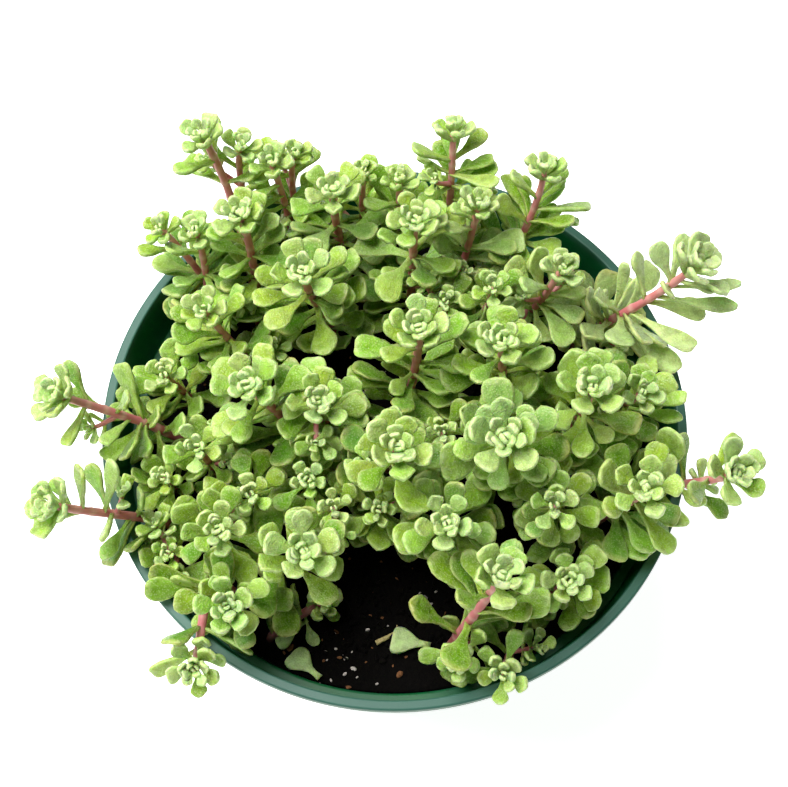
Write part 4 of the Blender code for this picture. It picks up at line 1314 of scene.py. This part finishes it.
@functools.cache
def leaf_tree():
    """Fleshy leaves on points, each of which carries the directions and sizes of its leaf."""
    kinds = {"Sides": "Int", "Rows": "Int", "Unevenness": "Float", "Swelling": "Float"}
    tree, add, given = new_tree("leaves_on_points", kinds)
    shape = add(
        "GeometryNodeMeshCylinder", Vertices=given["Sides"], Side_Segments=given["Rows"], Radius=1.0,
        Depth=1.0, fill_type="TRIANGLE_FAN",
    )
    x, y, z = add("SeparateXYZ", add("GeometryNodeInputPosition"), out=None)
    left = add("Math SUBTRACT", 0.5, z, use_clamp=True)
    along = add("Math SUBTRACT", 1.0, add("Math POWER", left, ROW_CROWDING))
    lines = (LEAF_OUTLINE, LEAF_PROFILE, LEAF_PINCH)
    wide, deep, pinched = (add("FloatCurve", Value=along, line=line) for line in lines)
    corner = add("Math MULTIPLY", add("Math MULTIPLY", x, y), 2.0)
    plump = add("Math MULTIPLY_ADD", add("Math MULTIPLY", corner, corner), PLUMPNESS, 1.0)
    full_x, full_y = (add("Math MULTIPLY", plump, one) for one in (x, y))
    square = add("Math MULTIPLY", x, x)
    gutter = add("Math MULTIPLY_ADD", square, 1.1, GUTTER_SHARE)
    sunk = add("Math MAXIMUM", add("Math SUBTRACT", full_y, add("Math MULTIPLY", full_y, gutter)), 0.0)
    across = add("Math MULTIPLY", wide, full_x)
    pairs = ((pinched, full_x), (deep, full_y), (along, along), (across, full_x), (deep, sunk))
    shares = (along, across, *(add("Math MULTIPLY", *pair) for pair in pairs))
    labels = ("leaf_u", "leaf_edge", *("share_" + step for step in LEAF_STEPS))
    for label, share in zip(labels, (along, add("Math MULTIPLY", square, square), *shares)):
        shape = add("GeometryNodeStoreNamedAttribute", shape, Name=label, Value=share)
    leaves = add("GeometryNodeInstanceOnPoints", Points=given["Geometry"], Instance=shape)
    leaves = add("GeometryNodeRealizeInstances", leaves)
    where = add("GeometryNodeInputNamedAttribute", Name="root", data_type="FLOAT_VECTOR")
    for step in LEAF_STEPS:
        direction = add("GeometryNodeInputNamedAttribute", Name=step, data_type="FLOAT_VECTOR")
        share = add("GeometryNodeInputNamedAttribute", Name="share_" + step, data_type="FLOAT")
        where = add("VectorMath MULTIPLY_ADD", direction, share, where)
    leaves = add("GeometryNodeSetPosition", leaves, Position=where)
    end_tree(add, leaves, given, "Unevenness", "Swelling")
    return tree


@functools.cache
def tube_tree():
    """A round stem or fibre along each line of the mesh, as thick as the line's girth."""
    kinds = {"Sides": "Int", "Unevenness": "Float", "Swelling": "Float"}
    tree, add, given = new_tree("tube_along_a_line", kinds)
    line = add("GeometryNodeMeshToCurve", given["Geometry"])
    circle = add("GeometryNodeCurvePrimitiveCircle", Resolution=given["Sides"], Radius=1.0)
    girth = add("GeometryNodeInputNamedAttribute", Name="girth", data_type="FLOAT")
    tube = add("GeometryNodeCurveToMesh", line, circle, Scale=girth, Fill_Caps=True)
    end_tree(add, tube, given, "Unevenness", "Swelling", detail=2.0)
    return tree


@functools.cache
def bits_tree():
    """Loose bits strewn over a surface, each turned, squeezed and chipped in its own way."""
    kinds = {
        "Number per Area": "Float", "Least Size": "Vector", "Most Size": "Vector", "Rounding": "Int",
        "Raggedness": "Float", "Chip Scale": "Float", "Tilt": "Float", "Seed": "Int",
    }
    tree, add, given = new_tree("bits_on_a_surface", kinds)
    spots = add(
        "GeometryNodeDistributePointsOnFaces", given["Geometry"], Density=given["Number per Area"],
        Seed=given["Seed"],
    )
    lump = add("GeometryNodeMeshIcoSphere", Radius=0.5, Subdivisions=given["Rounding"])
    ranges = (
        (given["Least Size"], given["Most Size"]),
        ((-1.0, -1.0, 0.0), (1.0, 1.0, 0.0)),
        ((0.0, 0.0, 0.0), (0.0, 0.0, ANY_TURN)),
    )
    size, lean, spin = (
        add("FunctionNodeRandomValue", *ends, Seed=seed, data_type="FLOAT_VECTOR")
        for seed, ends in enumerate(ranges, 1)
    )
    turn = add("VectorMath ADD", add("VectorMath SCALE", lean, given["Tilt"]), spin)
    bits = add("GeometryNodeInstanceOnPoints", Points=spots, Instance=lump, Rotation=turn, Scale=size)
    tint = add("FunctionNodeRandomValue", 0.0, 1.0, Seed=4, data_type="FLOAT")
    bits = add("GeometryNodeStoreNamedAttribute", bits, Name="tint", Value=tint, domain="INSTANCE")
    bits = add("GeometryNodeRealizeInstances", bits)
    end_tree(add, bits, given, "Raggedness", "Chip Scale", smooth=False)
    return tree


def grow(obj, tree, inputs, spare=()):
    """Runs a tree on an object's mesh, and leaves its result as a plain mesh without the spare attributes."""
    modifier = obj.modifiers.new("grow", "NODES")
    modifier.node_group = tree
    for item in tree.interface.items_tree:
        if item.in_out == "INPUT" and item.name in inputs:
            modifier[item.identifier] = inputs[item.name]
    obj.update_tag()
    graph = bpy.context.evaluated_depsgraph_get()
    source = obj.data
    obj.data = bpy.data.meshes.new_from_object(
        obj.evaluated_get(graph), preserve_all_data_layers=True, depsgraph=graph
    )
    obj.data.name = obj.name
    obj.modifiers.clear()
    bpy.data.meshes.remove(source)
    for label in spare:
        if label in obj.data.attributes:
            obj.data.attributes.remove(obj.data.attributes[label])
    return obj


def marked(obj, **values):
    """Gives each point of an object's mesh its own numbers or directions."""
    for label, found in values.items():
        directions = isinstance(found[0], Vector)
        layer = obj.data.attributes.new(label, "FLOAT_VECTOR" if directions else "FLOAT", "POINT")
        flat = [part for one in found for part in one] if directions else list(found)
        layer.data.foreach_set("vector" if directions else "value", flat)
    return obj


def grow_leaves(name, blades, skin, seed):
    """One piece of all these leaves."""
    draw = random.Random(seed)
    leaves = [blade.leaf for blade in blades]
    bent = [(one.leaf.face * one.leaf.bend + one.leaf.across * one.sway) * one.leaf.length for one in blades]
    depths = [min(1.0, YOUNG_HOLLOW + HOLLOWING * blade.age) for blade in blades]
    obj = marked(
        placed_mesh(name, [leaf.root for leaf in leaves], []),
        root=[leaf.root - leaf.along * ROOT_SINK for leaf in leaves],
        along=[leaf.along * (leaf.length + ROOT_SINK) for leaf in leaves],
        across=[leaf.across * (0.5 * leaf.width) for leaf in leaves],
        pinch=[leaf.across * (-0.5 * leaf.width * draw.uniform(-0.35, 1.0)) for leaf in leaves],
        face=[leaf.face * (0.5 * leaf.thickness) for leaf in leaves],
        lift=bent,
        cup=[leaf.face * (0.5 * leaf.width * leaf.cup) for leaf in leaves],
        hollow=[leaf.face * (-0.5 * leaf.thickness * depth) for leaf, depth in zip(leaves, depths)],
        age=[blade.age for blade in blades],
        tint=[draw.uniform(-1.0, 1.0) for _ in blades],
        # The wax attribute carries painted light: how much paler the leaves of a lit shoot are painted.
        wax=[PAINTED_LIGHT_LEAVES.get(name, 0.0)] * len(blades),
    )
    inputs = {
        "Sides": LEAF_SIDES, "Rows": LEAF_ROWS, "Unevenness": 0.6 * MM, "Swelling": 1.0 / (3.0 * MM),
        "Material": skin,
    }
    return grow(obj, leaf_tree(), inputs, LEAF_SPARE)


def stem_line(stem, sunk, draw, ripeness=(0.0, 1.0)):
    """Points along a stem with their girths, how strong a leaf scar is there, and how ripe the skin is."""
    count = max(6, round(stem.length / STEM_STEP))
    scars, height = [], 3.0 * MM
    while height < stem.length - 2.0 * MM:
        scars.append(height)
        height += draw.uniform(*SCAR_SPACING)
    line = [(stem.foot - UP * sunk, stem.radius(0.0), 0.0, 0.0)] if sunk else []
    for i in range(count + 1):
        t = i / count
        near = max((math.exp(-(((t * stem.length - scar) / SCAR_REACH) ** 2)) for scar in scars), default=0.0)
        girth = stem.radius(t) * (0.97 + SCAR_BULGE * near) * (CLOSED_TIP if i == count else 1.0)
        line.append((stem.at(t), girth, near, ripeness[0] + ripeness[1] * t))
    return line


def grow_tubes(name, lines, skin, unevenness):
    """One piece of tubes along these lines of marked points."""
    edges, rows = [], []
    for line in lines:
        edges += [(len(rows) + i, len(rows) + i + 1) for i in range(len(line) - 1)]
        rows += line
    points, girth, scar, ripe = zip(*rows)
    obj = marked(placed_mesh(name, points, [], edges=edges), girth=girth, scar=scar, stem_t=ripe)
    inputs = {"Sides": STEM_SIDES, "Unevenness": unevenness, "Swelling": 1.0 / (2.5 * MM), "Material": skin}
    return grow(obj, tube_tree(), inputs, ("girth",))


def rounded(profile, steps=4):
    """A profile of (radius, height, rounding) with its corners rounded off."""
    done = []
    for before, (r, z, size), after in zip(profile, profile[1:], profile[2:]):
        corner = Vector((r, z))
        arms = []
        for other in (before, after):
            arm = Vector(other[:2]) - corner
            arms.append(corner + arm.normalized() * min(size, 0.45 * arm.length))
        for i in range(steps + 1):
            s = i / steps
            done.append(tuple(arms[0] * (1 - s) ** 2 + corner * 2 * s * (1 - s) + arms[1] * s**2))
    return [profile[0][:2], *done, profile[-1][:2]]


def build_pot(settings):
    """The nursery pot, turned from its profile, with its drain holes cut."""
    band_foot = POT_HEIGHT - BAND_DEPTH
    lip_under = POT_HEIGHT - LIP_DEPTH
    inside_lip = RIM_RADIUS - LIP_WIDTH
    edge = settings.rounding
    profile = rounded([
        (0.0, 0.0, 0.0),
        (BASE_RADIUS, 0.0, 3.0 * edge),
        (BODY_RADIUS + WALL, band_foot - 2.0 * WALL, 2.0 * edge),
        (LEDGE_RADIUS + WALL, band_foot - WALL, 1.5 * edge),
        (inside_lip + WALL, lip_under, edge),
        (RIM_RADIUS, lip_under, edge),
        (RIM_RADIUS, POT_HEIGHT, 1.3 * edge),
        (inside_lip, POT_HEIGHT, edge),
        (LEDGE_RADIUS, band_foot, edge),
        (BODY_RADIUS, band_foot, 1.5 * edge),
        (BASE_RADIUS - WALL, WALL, 2.0 * edge),
        (0.0, WALL, 0.0),
    ])
    pot = lathe("pot_shell", profile, POT_SIDES, pot_plastic(settings))
    centres = [polar(DRAIN_CIRCLE, FULL_TURN * (i + 0.5) / DRAIN_HOLES) for i in range(DRAIN_HOLES)]
    drains = [(centre - UP * WALL, centre + UP * (2.0 * WALL)) for centre in centres]
    cut(pot, prisms("drain_cutter", drains, DRAIN_RADIUS, DRAIN_SIDES))
    for polygon in pot.data.polygons:
        polygon.use_smooth = abs(polygon.normal.z) < 0.999
    return pot


def build_soil(material):
    """The root ball, with a cloddy top."""
    edge = soil_height(BODY_RADIUS, 0.0)
    outer = inner_radius(edge) - GAP
    profile = [(0.0, WALL + GAP), (BASE_RADIUS - WALL - 2.0 * GAP, WALL + GAP), (outer, edge)]
    profile += [(outer * (1.0 - i / SOIL_RINGS), edge) for i in range(1, SOIL_RINGS)]
    soil = lathe("soil_clods", [*profile, (0.0, edge)], SOIL_SECTORS, material)
    for vertex in soil.data.vertices:
        if vertex.co.z > edge - GAP:
            vertex.co.z = fine_height(vertex.co.x, vertex.co.y)
    for polygon in soil.data.polygons:
        polygon.use_smooth = True
    return marked(soil, tint=[0.3] * len(soil.data.vertices))


def strewing_ground(name, reach):
    """A bare patch of the potting mix's top, out to this radius, to strew bits on."""
    row = STREWN_STEPS + 1
    places = [(2.0 * i / STREWN_STEPS - 1.0) * reach for i in range(row)]
    points = [Vector((x, y, fine_height(x, y))) for x in places for y in places]
    faces = []
    for i in range(STREWN_STEPS):
        for j in range(STREWN_STEPS):
            corners = (i * row + j, (i + 1) * row + j, (i + 1) * row + j + 1, i * row + j + 1)
            if all(points[c].xy.length < reach for c in corners):
                faces.append(corners)
    return placed_mesh(name, points, faces)


def lay_bits(name, places, flatness, material, seed):
    """Chipped grains at the places in the picture where it shows them."""
    draw = random.Random(seed)
    shape = bmesh.new()
    for x, y, size in places:
        turn = Matrix.Rotation(draw.uniform(0.0, ANY_TURN), 3, "Z")
        turn = turn @ Matrix.Rotation(draw.uniform(-0.5, 0.5), 3, "X")
        centre = seen_on_soil((x, y), 0.25 * size * flatness * MM)
        for vertex in bmesh.ops.create_icosphere(shape, subdivisions=2, radius=0.5 * size * MM)["verts"]:
            chip = 1.0 + 0.5 * noise(vertex.co * (1.3 / (size * MM)) + Vector((x, y, 0.0)))
            squeezed = Vector((vertex.co.x * 1.25, vertex.co.y * 0.8, vertex.co.z * flatness))
            vertex.co = centre + turn @ squeezed * chip
    obj = placed_mesh(name, [], [], material)
    shape.to_mesh(obj.data)
    shape.free()
    return marked(obj, tint=[draw.uniform(0.6, 1.0) for _ in obj.data.vertices])


def colour(name, description, code):
    """A colour that a user can change, from its sRGB hex code."""
    return FloatVectorProperty(
        name=name, description=description, subtype="COLOR", size=3, min=0.0, max=1.0, default=srgb(code)
    )


def distance(name, description, size):
    """A small distance that a user can change."""
    return FloatProperty(
        name=name, description=description, subtype="DISTANCE", unit="LENGTH", default=size, min=0.1 * MM
    )


class LeafSettings(bpy.types.PropertyGroup):
    """Colours of the leaves, and the size of their pimples"""

    heart: colour("Heart", "Youngest leaves, closed over the tip of a shoot", "#BEDC94")
    young: colour("Young", "Inner leaves of a rosette", "#ACCA70")
    grown: colour("Grown", "Outer leaves of a rosette", "#96C034")
    old: colour("Old", "Leaves low on the stem", "#5E9A08")
    # Also the colour of the painted glints on the pimples.
    rim: colour("Rim", "Wax on the rims and the pimples", "#E2F2B0")
    bloom: colour("Bloom", "Bluish wax on some shoots", "#8EBE74")
    # The pale colour painted on the shoots that stand out of the shade, as painted light.
    wax: colour("Wax", "Thick pale wax on the shoots that stand out of the shade", "#CCDAA2")
    stalk: colour("Stalk", "Narrow foot of a leaf", "#B4C860")
    burnt: colour("Burnt", "Rims of the oldest leaves", "#C6AE50")
    pimple_spacing: distance("Pimple spacing", "Distance between the skin's pimples", 0.5 * MM)


class StemSettings(bpy.types.PropertyGroup):
    """Colours along the stems"""

    top: colour("Top", "Stem just under the rosette", "#D48E88")
    red: colour("Red", "Sunlit part of the stem", "#CC7278")
    low: colour("Low", "Lower stem", "#C0646A")
    foot: colour("Foot", "Corky stem at the soil", "#6E3C30")
    scar: colour("Scar", "Scars of dropped leaves", "#E8C4B4")


class PotSettings(bpy.types.PropertyGroup):
    """Colours of the pot, and the rounding of its edges"""

    plastic: colour("Plastic", "Colour of the plastic", "#0A5C30")
    # Also the colour of the painted reflection of the lamp on the lip.
    film: colour("Film", "Dull film left by watering", "#466A64")
    # Also the colour of the painted shade on the inner wall near the soil line.
    specks_and_painted_shade: colour("Dirt", "Specks of mix on the wall", "#1A130D")
    rounding: distance("Rounding", "Rounding of the moulded edges", 0.45 * MM)


class SoilSettings(bpy.types.PropertyGroup):
    """Colours of the potting mix, and how many crumbs lie on it"""

    peat: colour("Peat", "Darkest of the mix", "#010101")
    crumb: colour("Crumb", "Lightest of the mix", "#0C0806")
    perlite: colour("Perlite", "White grains", "#DDD2CC")
    bark: colour("Bark", "Chips of bark", "#8C6040")
    crumbs: FloatProperty(
        name="Crumbs", description="Number of crumbs per square metre", default=230000.0, min=0.0
    )
    seed: IntProperty(name="Seed", description="Which way the bits fall", default=7)


class StageSettings(bpy.types.PropertyGroup):
    """The floor and the light"""

    floor: colour("Floor", "Colour of the floor", "#F6F6F4")
    key: FloatProperty(
        name="Key light", description="Power of the large lamp above", unit="POWER", default=21.4, min=0.0
    )
    fill: FloatProperty(name="Fill", description="Strength of the light high up", default=0.07, min=0.0)
    glow: FloatProperty(
        name="Glow", description="Light that the floor gives, as a light table does", default=0.90, min=0.0
    )


class SEDUM_OT_pot(bpy.types.Operator):
    """Turn the nursery pot and cut its drain holes"""

    bl_idname = "sedum.pot"
    bl_label = "Pot"

    def execute(self, context):
        pot = build_pot(context.scene.sedum_pot)
        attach(pot, "root")
        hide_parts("pot")
        return {"FINISHED"}


class SEDUM_OT_soil(bpy.types.Operator):
    """Fill the pot with potting mix, and strew its crumbs, perlite and bark"""

    bl_idname = "sedum.soil"
    bl_label = "Potting mix"

    def execute(self, context):
        settings = context.scene.sedum_soil
        peat = earth("peat", settings.peat, settings.crumb, 1.2 * MM, 0.95, 1.6 * MM)
        perlite = earth("perlite", srgb("#A89A94"), settings.perlite, 0.8 * MM, 0.9, 0.7 * MM)
        bark = earth("pine_bark", srgb("#3C2212"), settings.bark, 0.7 * MM, 0.85, 0.9 * MM)
        straw = earth("dry_root", srgb("#6A5228"), srgb("#DCC98C"), 0.6 * MM, 0.7, 0.8 * MM)
        soil = build_soil(peat)
        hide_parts("soil")
        pieces = [soil]
        reach = inner_radius(POT_HEIGHT - SOIL_DROP) - STREWN_MARGIN
        # For each kind: how many per square metre, least and most size, raggedness and chips in mm, and tilt.
        kinds = {
            "soil_crumbs": (settings.crumbs, (0.8, 0.7, 0.6), (3.4, 2.8, 2.2), 0.9, 1.2, 1.5, peat),
            "soil_perlite": (3000.0, (0.6, 0.5, 0.5), (2.0, 1.8, 1.5), 0.6, 0.9, 1.5, perlite),
            "soil_bark": (12000.0, (0.5, 0.4, 0.3), (2.0, 1.2, 0.8), 0.6, 1.4, 0.5, bark),
        }
        for number, (name, (density, least, most, ragged, chip, tilt, material)) in enumerate(kinds.items()):
            inputs = {
                "Number per Area": density,
                "Least Size": tuple(size * MM for size in least),
                "Most Size": tuple(size * MM for size in most),
                "Rounding": 1,
                "Raggedness": ragged * MM,
                "Chip Scale": 1.0 / (chip * MM),
                "Tilt": tilt,
                "Seed": settings.seed + number,
                "Material": material,
            }
            pieces.append(grow(strewing_ground(name, reach), bits_tree(), inputs))
        pieces.append(lay_bits("seen_perlite", SEEN_PERLITE, 0.8, perlite, settings.seed))
        pieces.append(lay_bits("seen_bark", SEEN_BARK, 0.5, bark, settings.seed + 1))
        fibre = [(seen_on_soil((x, y), girth * MM), girth * MM, 0.0, 0.0) for x, y, girth in DRY_ROOT]
        root = grow_tubes("dry_root", [fibre], straw, 0.2 * MM)
        pieces.append(marked(root, tint=[0.7] * len(root.data.vertices)))
        for piece in pieces:
            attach(piece, "root")
        return {"FINISHED"}


class SEDUM_OT_stems(bpy.types.Operator):
    """Grow the stems, with the scars of dropped leaves"""

    bl_idname = "sedum.stems"
    bl_label = "Stems"

    def execute(self, context):
        skin = stem_skin(context.scene.sedum_stem)
        stems, side_stems, _ = grown_plan()
        for number, (name, stem) in enumerate(stems.items()):
            draw = random.Random(SCAR_SEED + number)
            lines = [stem_line(stem, HOLE_DEPTH - GAP, draw)]
            lines += [stem_line(side, 0.0, draw, (0.5, 0.5)) for side in side_stems[name]]
            piece = grow_tubes(name + "_stem", lines, skin, 0.3 * MM)
            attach(piece, "root")
            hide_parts(name)
        return {"FINISHED"}


class SEDUM_OT_leaves(bpy.types.Operator):
    """Grow the leaves of every shoot"""

    bl_idname = "sedum.leaves"
    bl_label = "Leaves"

    def execute(self, context):
        skin = leaf_skin(context.scene.sedum_leaf)
        for number, (name, blades) in enumerate(grown_plan()[2].items()):
            piece = grow_leaves(name + "_leaves", blades, skin, LEAF_SEED + number)
            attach(piece, "root")
            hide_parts(name)
        return {"FINISHED"}


class SEDUM_OT_dropped_leaves(bpy.types.Operator):
    """Lay the two dropped leaves and the fallen sprig on the soil"""

    bl_idname = "sedum.dropped_leaves"
    bl_label = "Dropped leaves"

    def execute(self, context):
        skin = bpy.data.materials["living_leaf"]
        start, low, end, high = FALLEN_STEM
        foot, crown = seen_on_soil(start, low * MM), seen_on_soil(end, high * MM)
        stem = Stem(foot, crown, (crown - foot).normalized(), 0.08, 0.9, 0.0)
        line = stem_line(stem, 0.0, random.Random(FALLEN_SCAR_SEED), (0.55, 0.3))
        leaves = []
        for root, low, tip, high, width, age in FALLEN_LEAVES:
            root, tip = seen_on_soil(root, low * MM), seen_on_soil(tip, high * MM)
            leaves.append(Blade(flat_leaf(root, tip, width * MM, FALLEN_THICKNESS), age, 0.1))
        for piece in (
            grow_tubes("fallen_sprig_stem", [line], bpy.data.materials["living_stem"], 0.3 * MM),
            grow_leaves("fallen_sprig_leaves", leaves, skin, FALLEN_LEAF_SEED),
        ):
            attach(piece, "root")
        for number, (name, pixels) in enumerate(DROPPED_LEAVES.items()):
            blade = Blade(lying_leaf(*pixels), DROPPED_AGE, 0.08)
            piece = grow_leaves(name + "_fine", [blade], skin, DROPPED_SEED + number)
            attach(piece, "root")
            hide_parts(name)
        return {"FINISHED"}


class SEDUM_OT_stage(bpy.types.Operator):
    """Set the pale floor, the soft lamp and the camera"""

    bl_idname = "sedum.stage"
    bl_label = "Stage"

    def execute(self, context):
        settings = context.scene.sedum_stage
        square = ((-1, -1), (1, -1), (1, 1), (-1, 1))
        corners = [(x * FLOOR_REACH, y * FLOOR_REACH, -FLOOR_DROP) for x, y in square]
        floor = placed_mesh("floor", corners, [(0, 1, 2, 3)], floor_paper(settings))
        context.scene.world = studio_walls(settings)
        context.scene.view_settings.view_transform = "Standard"
        disk = bpy.data.lights.new("key", "AREA")
        disk.shape = "DISK"
        disk.size = LAMP_SIZE
        disk.energy = settings.key
        lens = bpy.data.cameras.new("camera")
        lens.sensor_width = SENSOR_WIDTH
        lens.lens = PICTURE_FOCUS * SENSOR_WIDTH / PICTURE_WIDTH
        lens.clip_start = 0.01
        eye, _ = sight_line(PICTURE_CENTRE)
        for data, place in ((disk, LAMP_PLACE), (lens, eye)):
            obj = bpy.data.objects.new(data.name, data)
            obj.location = place
            obj.rotation_euler = (AIM - place).to_track_quat("-Z", "Y").to_euler()
            context.scene.collection.objects.link(obj)
        context.scene.camera = obj
        return {"FINISHED"}


OPERATORS = (
    SEDUM_OT_pot, SEDUM_OT_soil, SEDUM_OT_stems, SEDUM_OT_leaves, SEDUM_OT_dropped_leaves, SEDUM_OT_stage,
)
GROUPS = {
    "sedum_leaf": LeafSettings,
    "sedum_stem": StemSettings,
    "sedum_pot": PotSettings,
    "sedum_soil": SoilSettings,
    "sedum_stage": StageSettings,
}


class SEDUM_PT_panel(bpy.types.Panel):
    """Lists the pieces of the plant, and their sizes and colours"""

    bl_idname = "SEDUM_PT_panel"
    bl_label = "Potted sedum"
    bl_space_type = "VIEW_3D"
    bl_region_type = "UI"
    bl_category = "Sedum"

    def draw(self, context):
        for operator in OPERATORS:
            self.layout.operator(operator.bl_idname)
        for group, kind in GROUPS.items():
            box = self.layout.box()
            for name in kind.__annotations__:
                box.prop(getattr(context.scene, group), name)


CLASSES = (*GROUPS.values(), *OPERATORS, SEDUM_PT_panel)


def register():
    """Makes the operators, the panel and the settings known to Blender."""
    for kind in CLASSES:
        bpy.utils.register_class(kind)
    for group, kind in GROUPS.items():
        setattr(bpy.types.Scene, group, PointerProperty(type=kind))


def unregister():
    """Takes them all away again."""
    for group in GROUPS:
        delattr(bpy.types.Scene, group)
    for kind in reversed(CLASSES):
        bpy.utils.unregister_class(kind)


def main():
    """Builds the plant and its stage."""
    register()
    bpy.ops.sedum.pot()
    bpy.ops.sedum.soil()
    bpy.ops.sedum.stems()
    bpy.ops.sedum.leaves()
    bpy.ops.sedum.dropped_leaves()
    bpy.ops.sedum.stage()


if __name__ == "__main__":
    main()
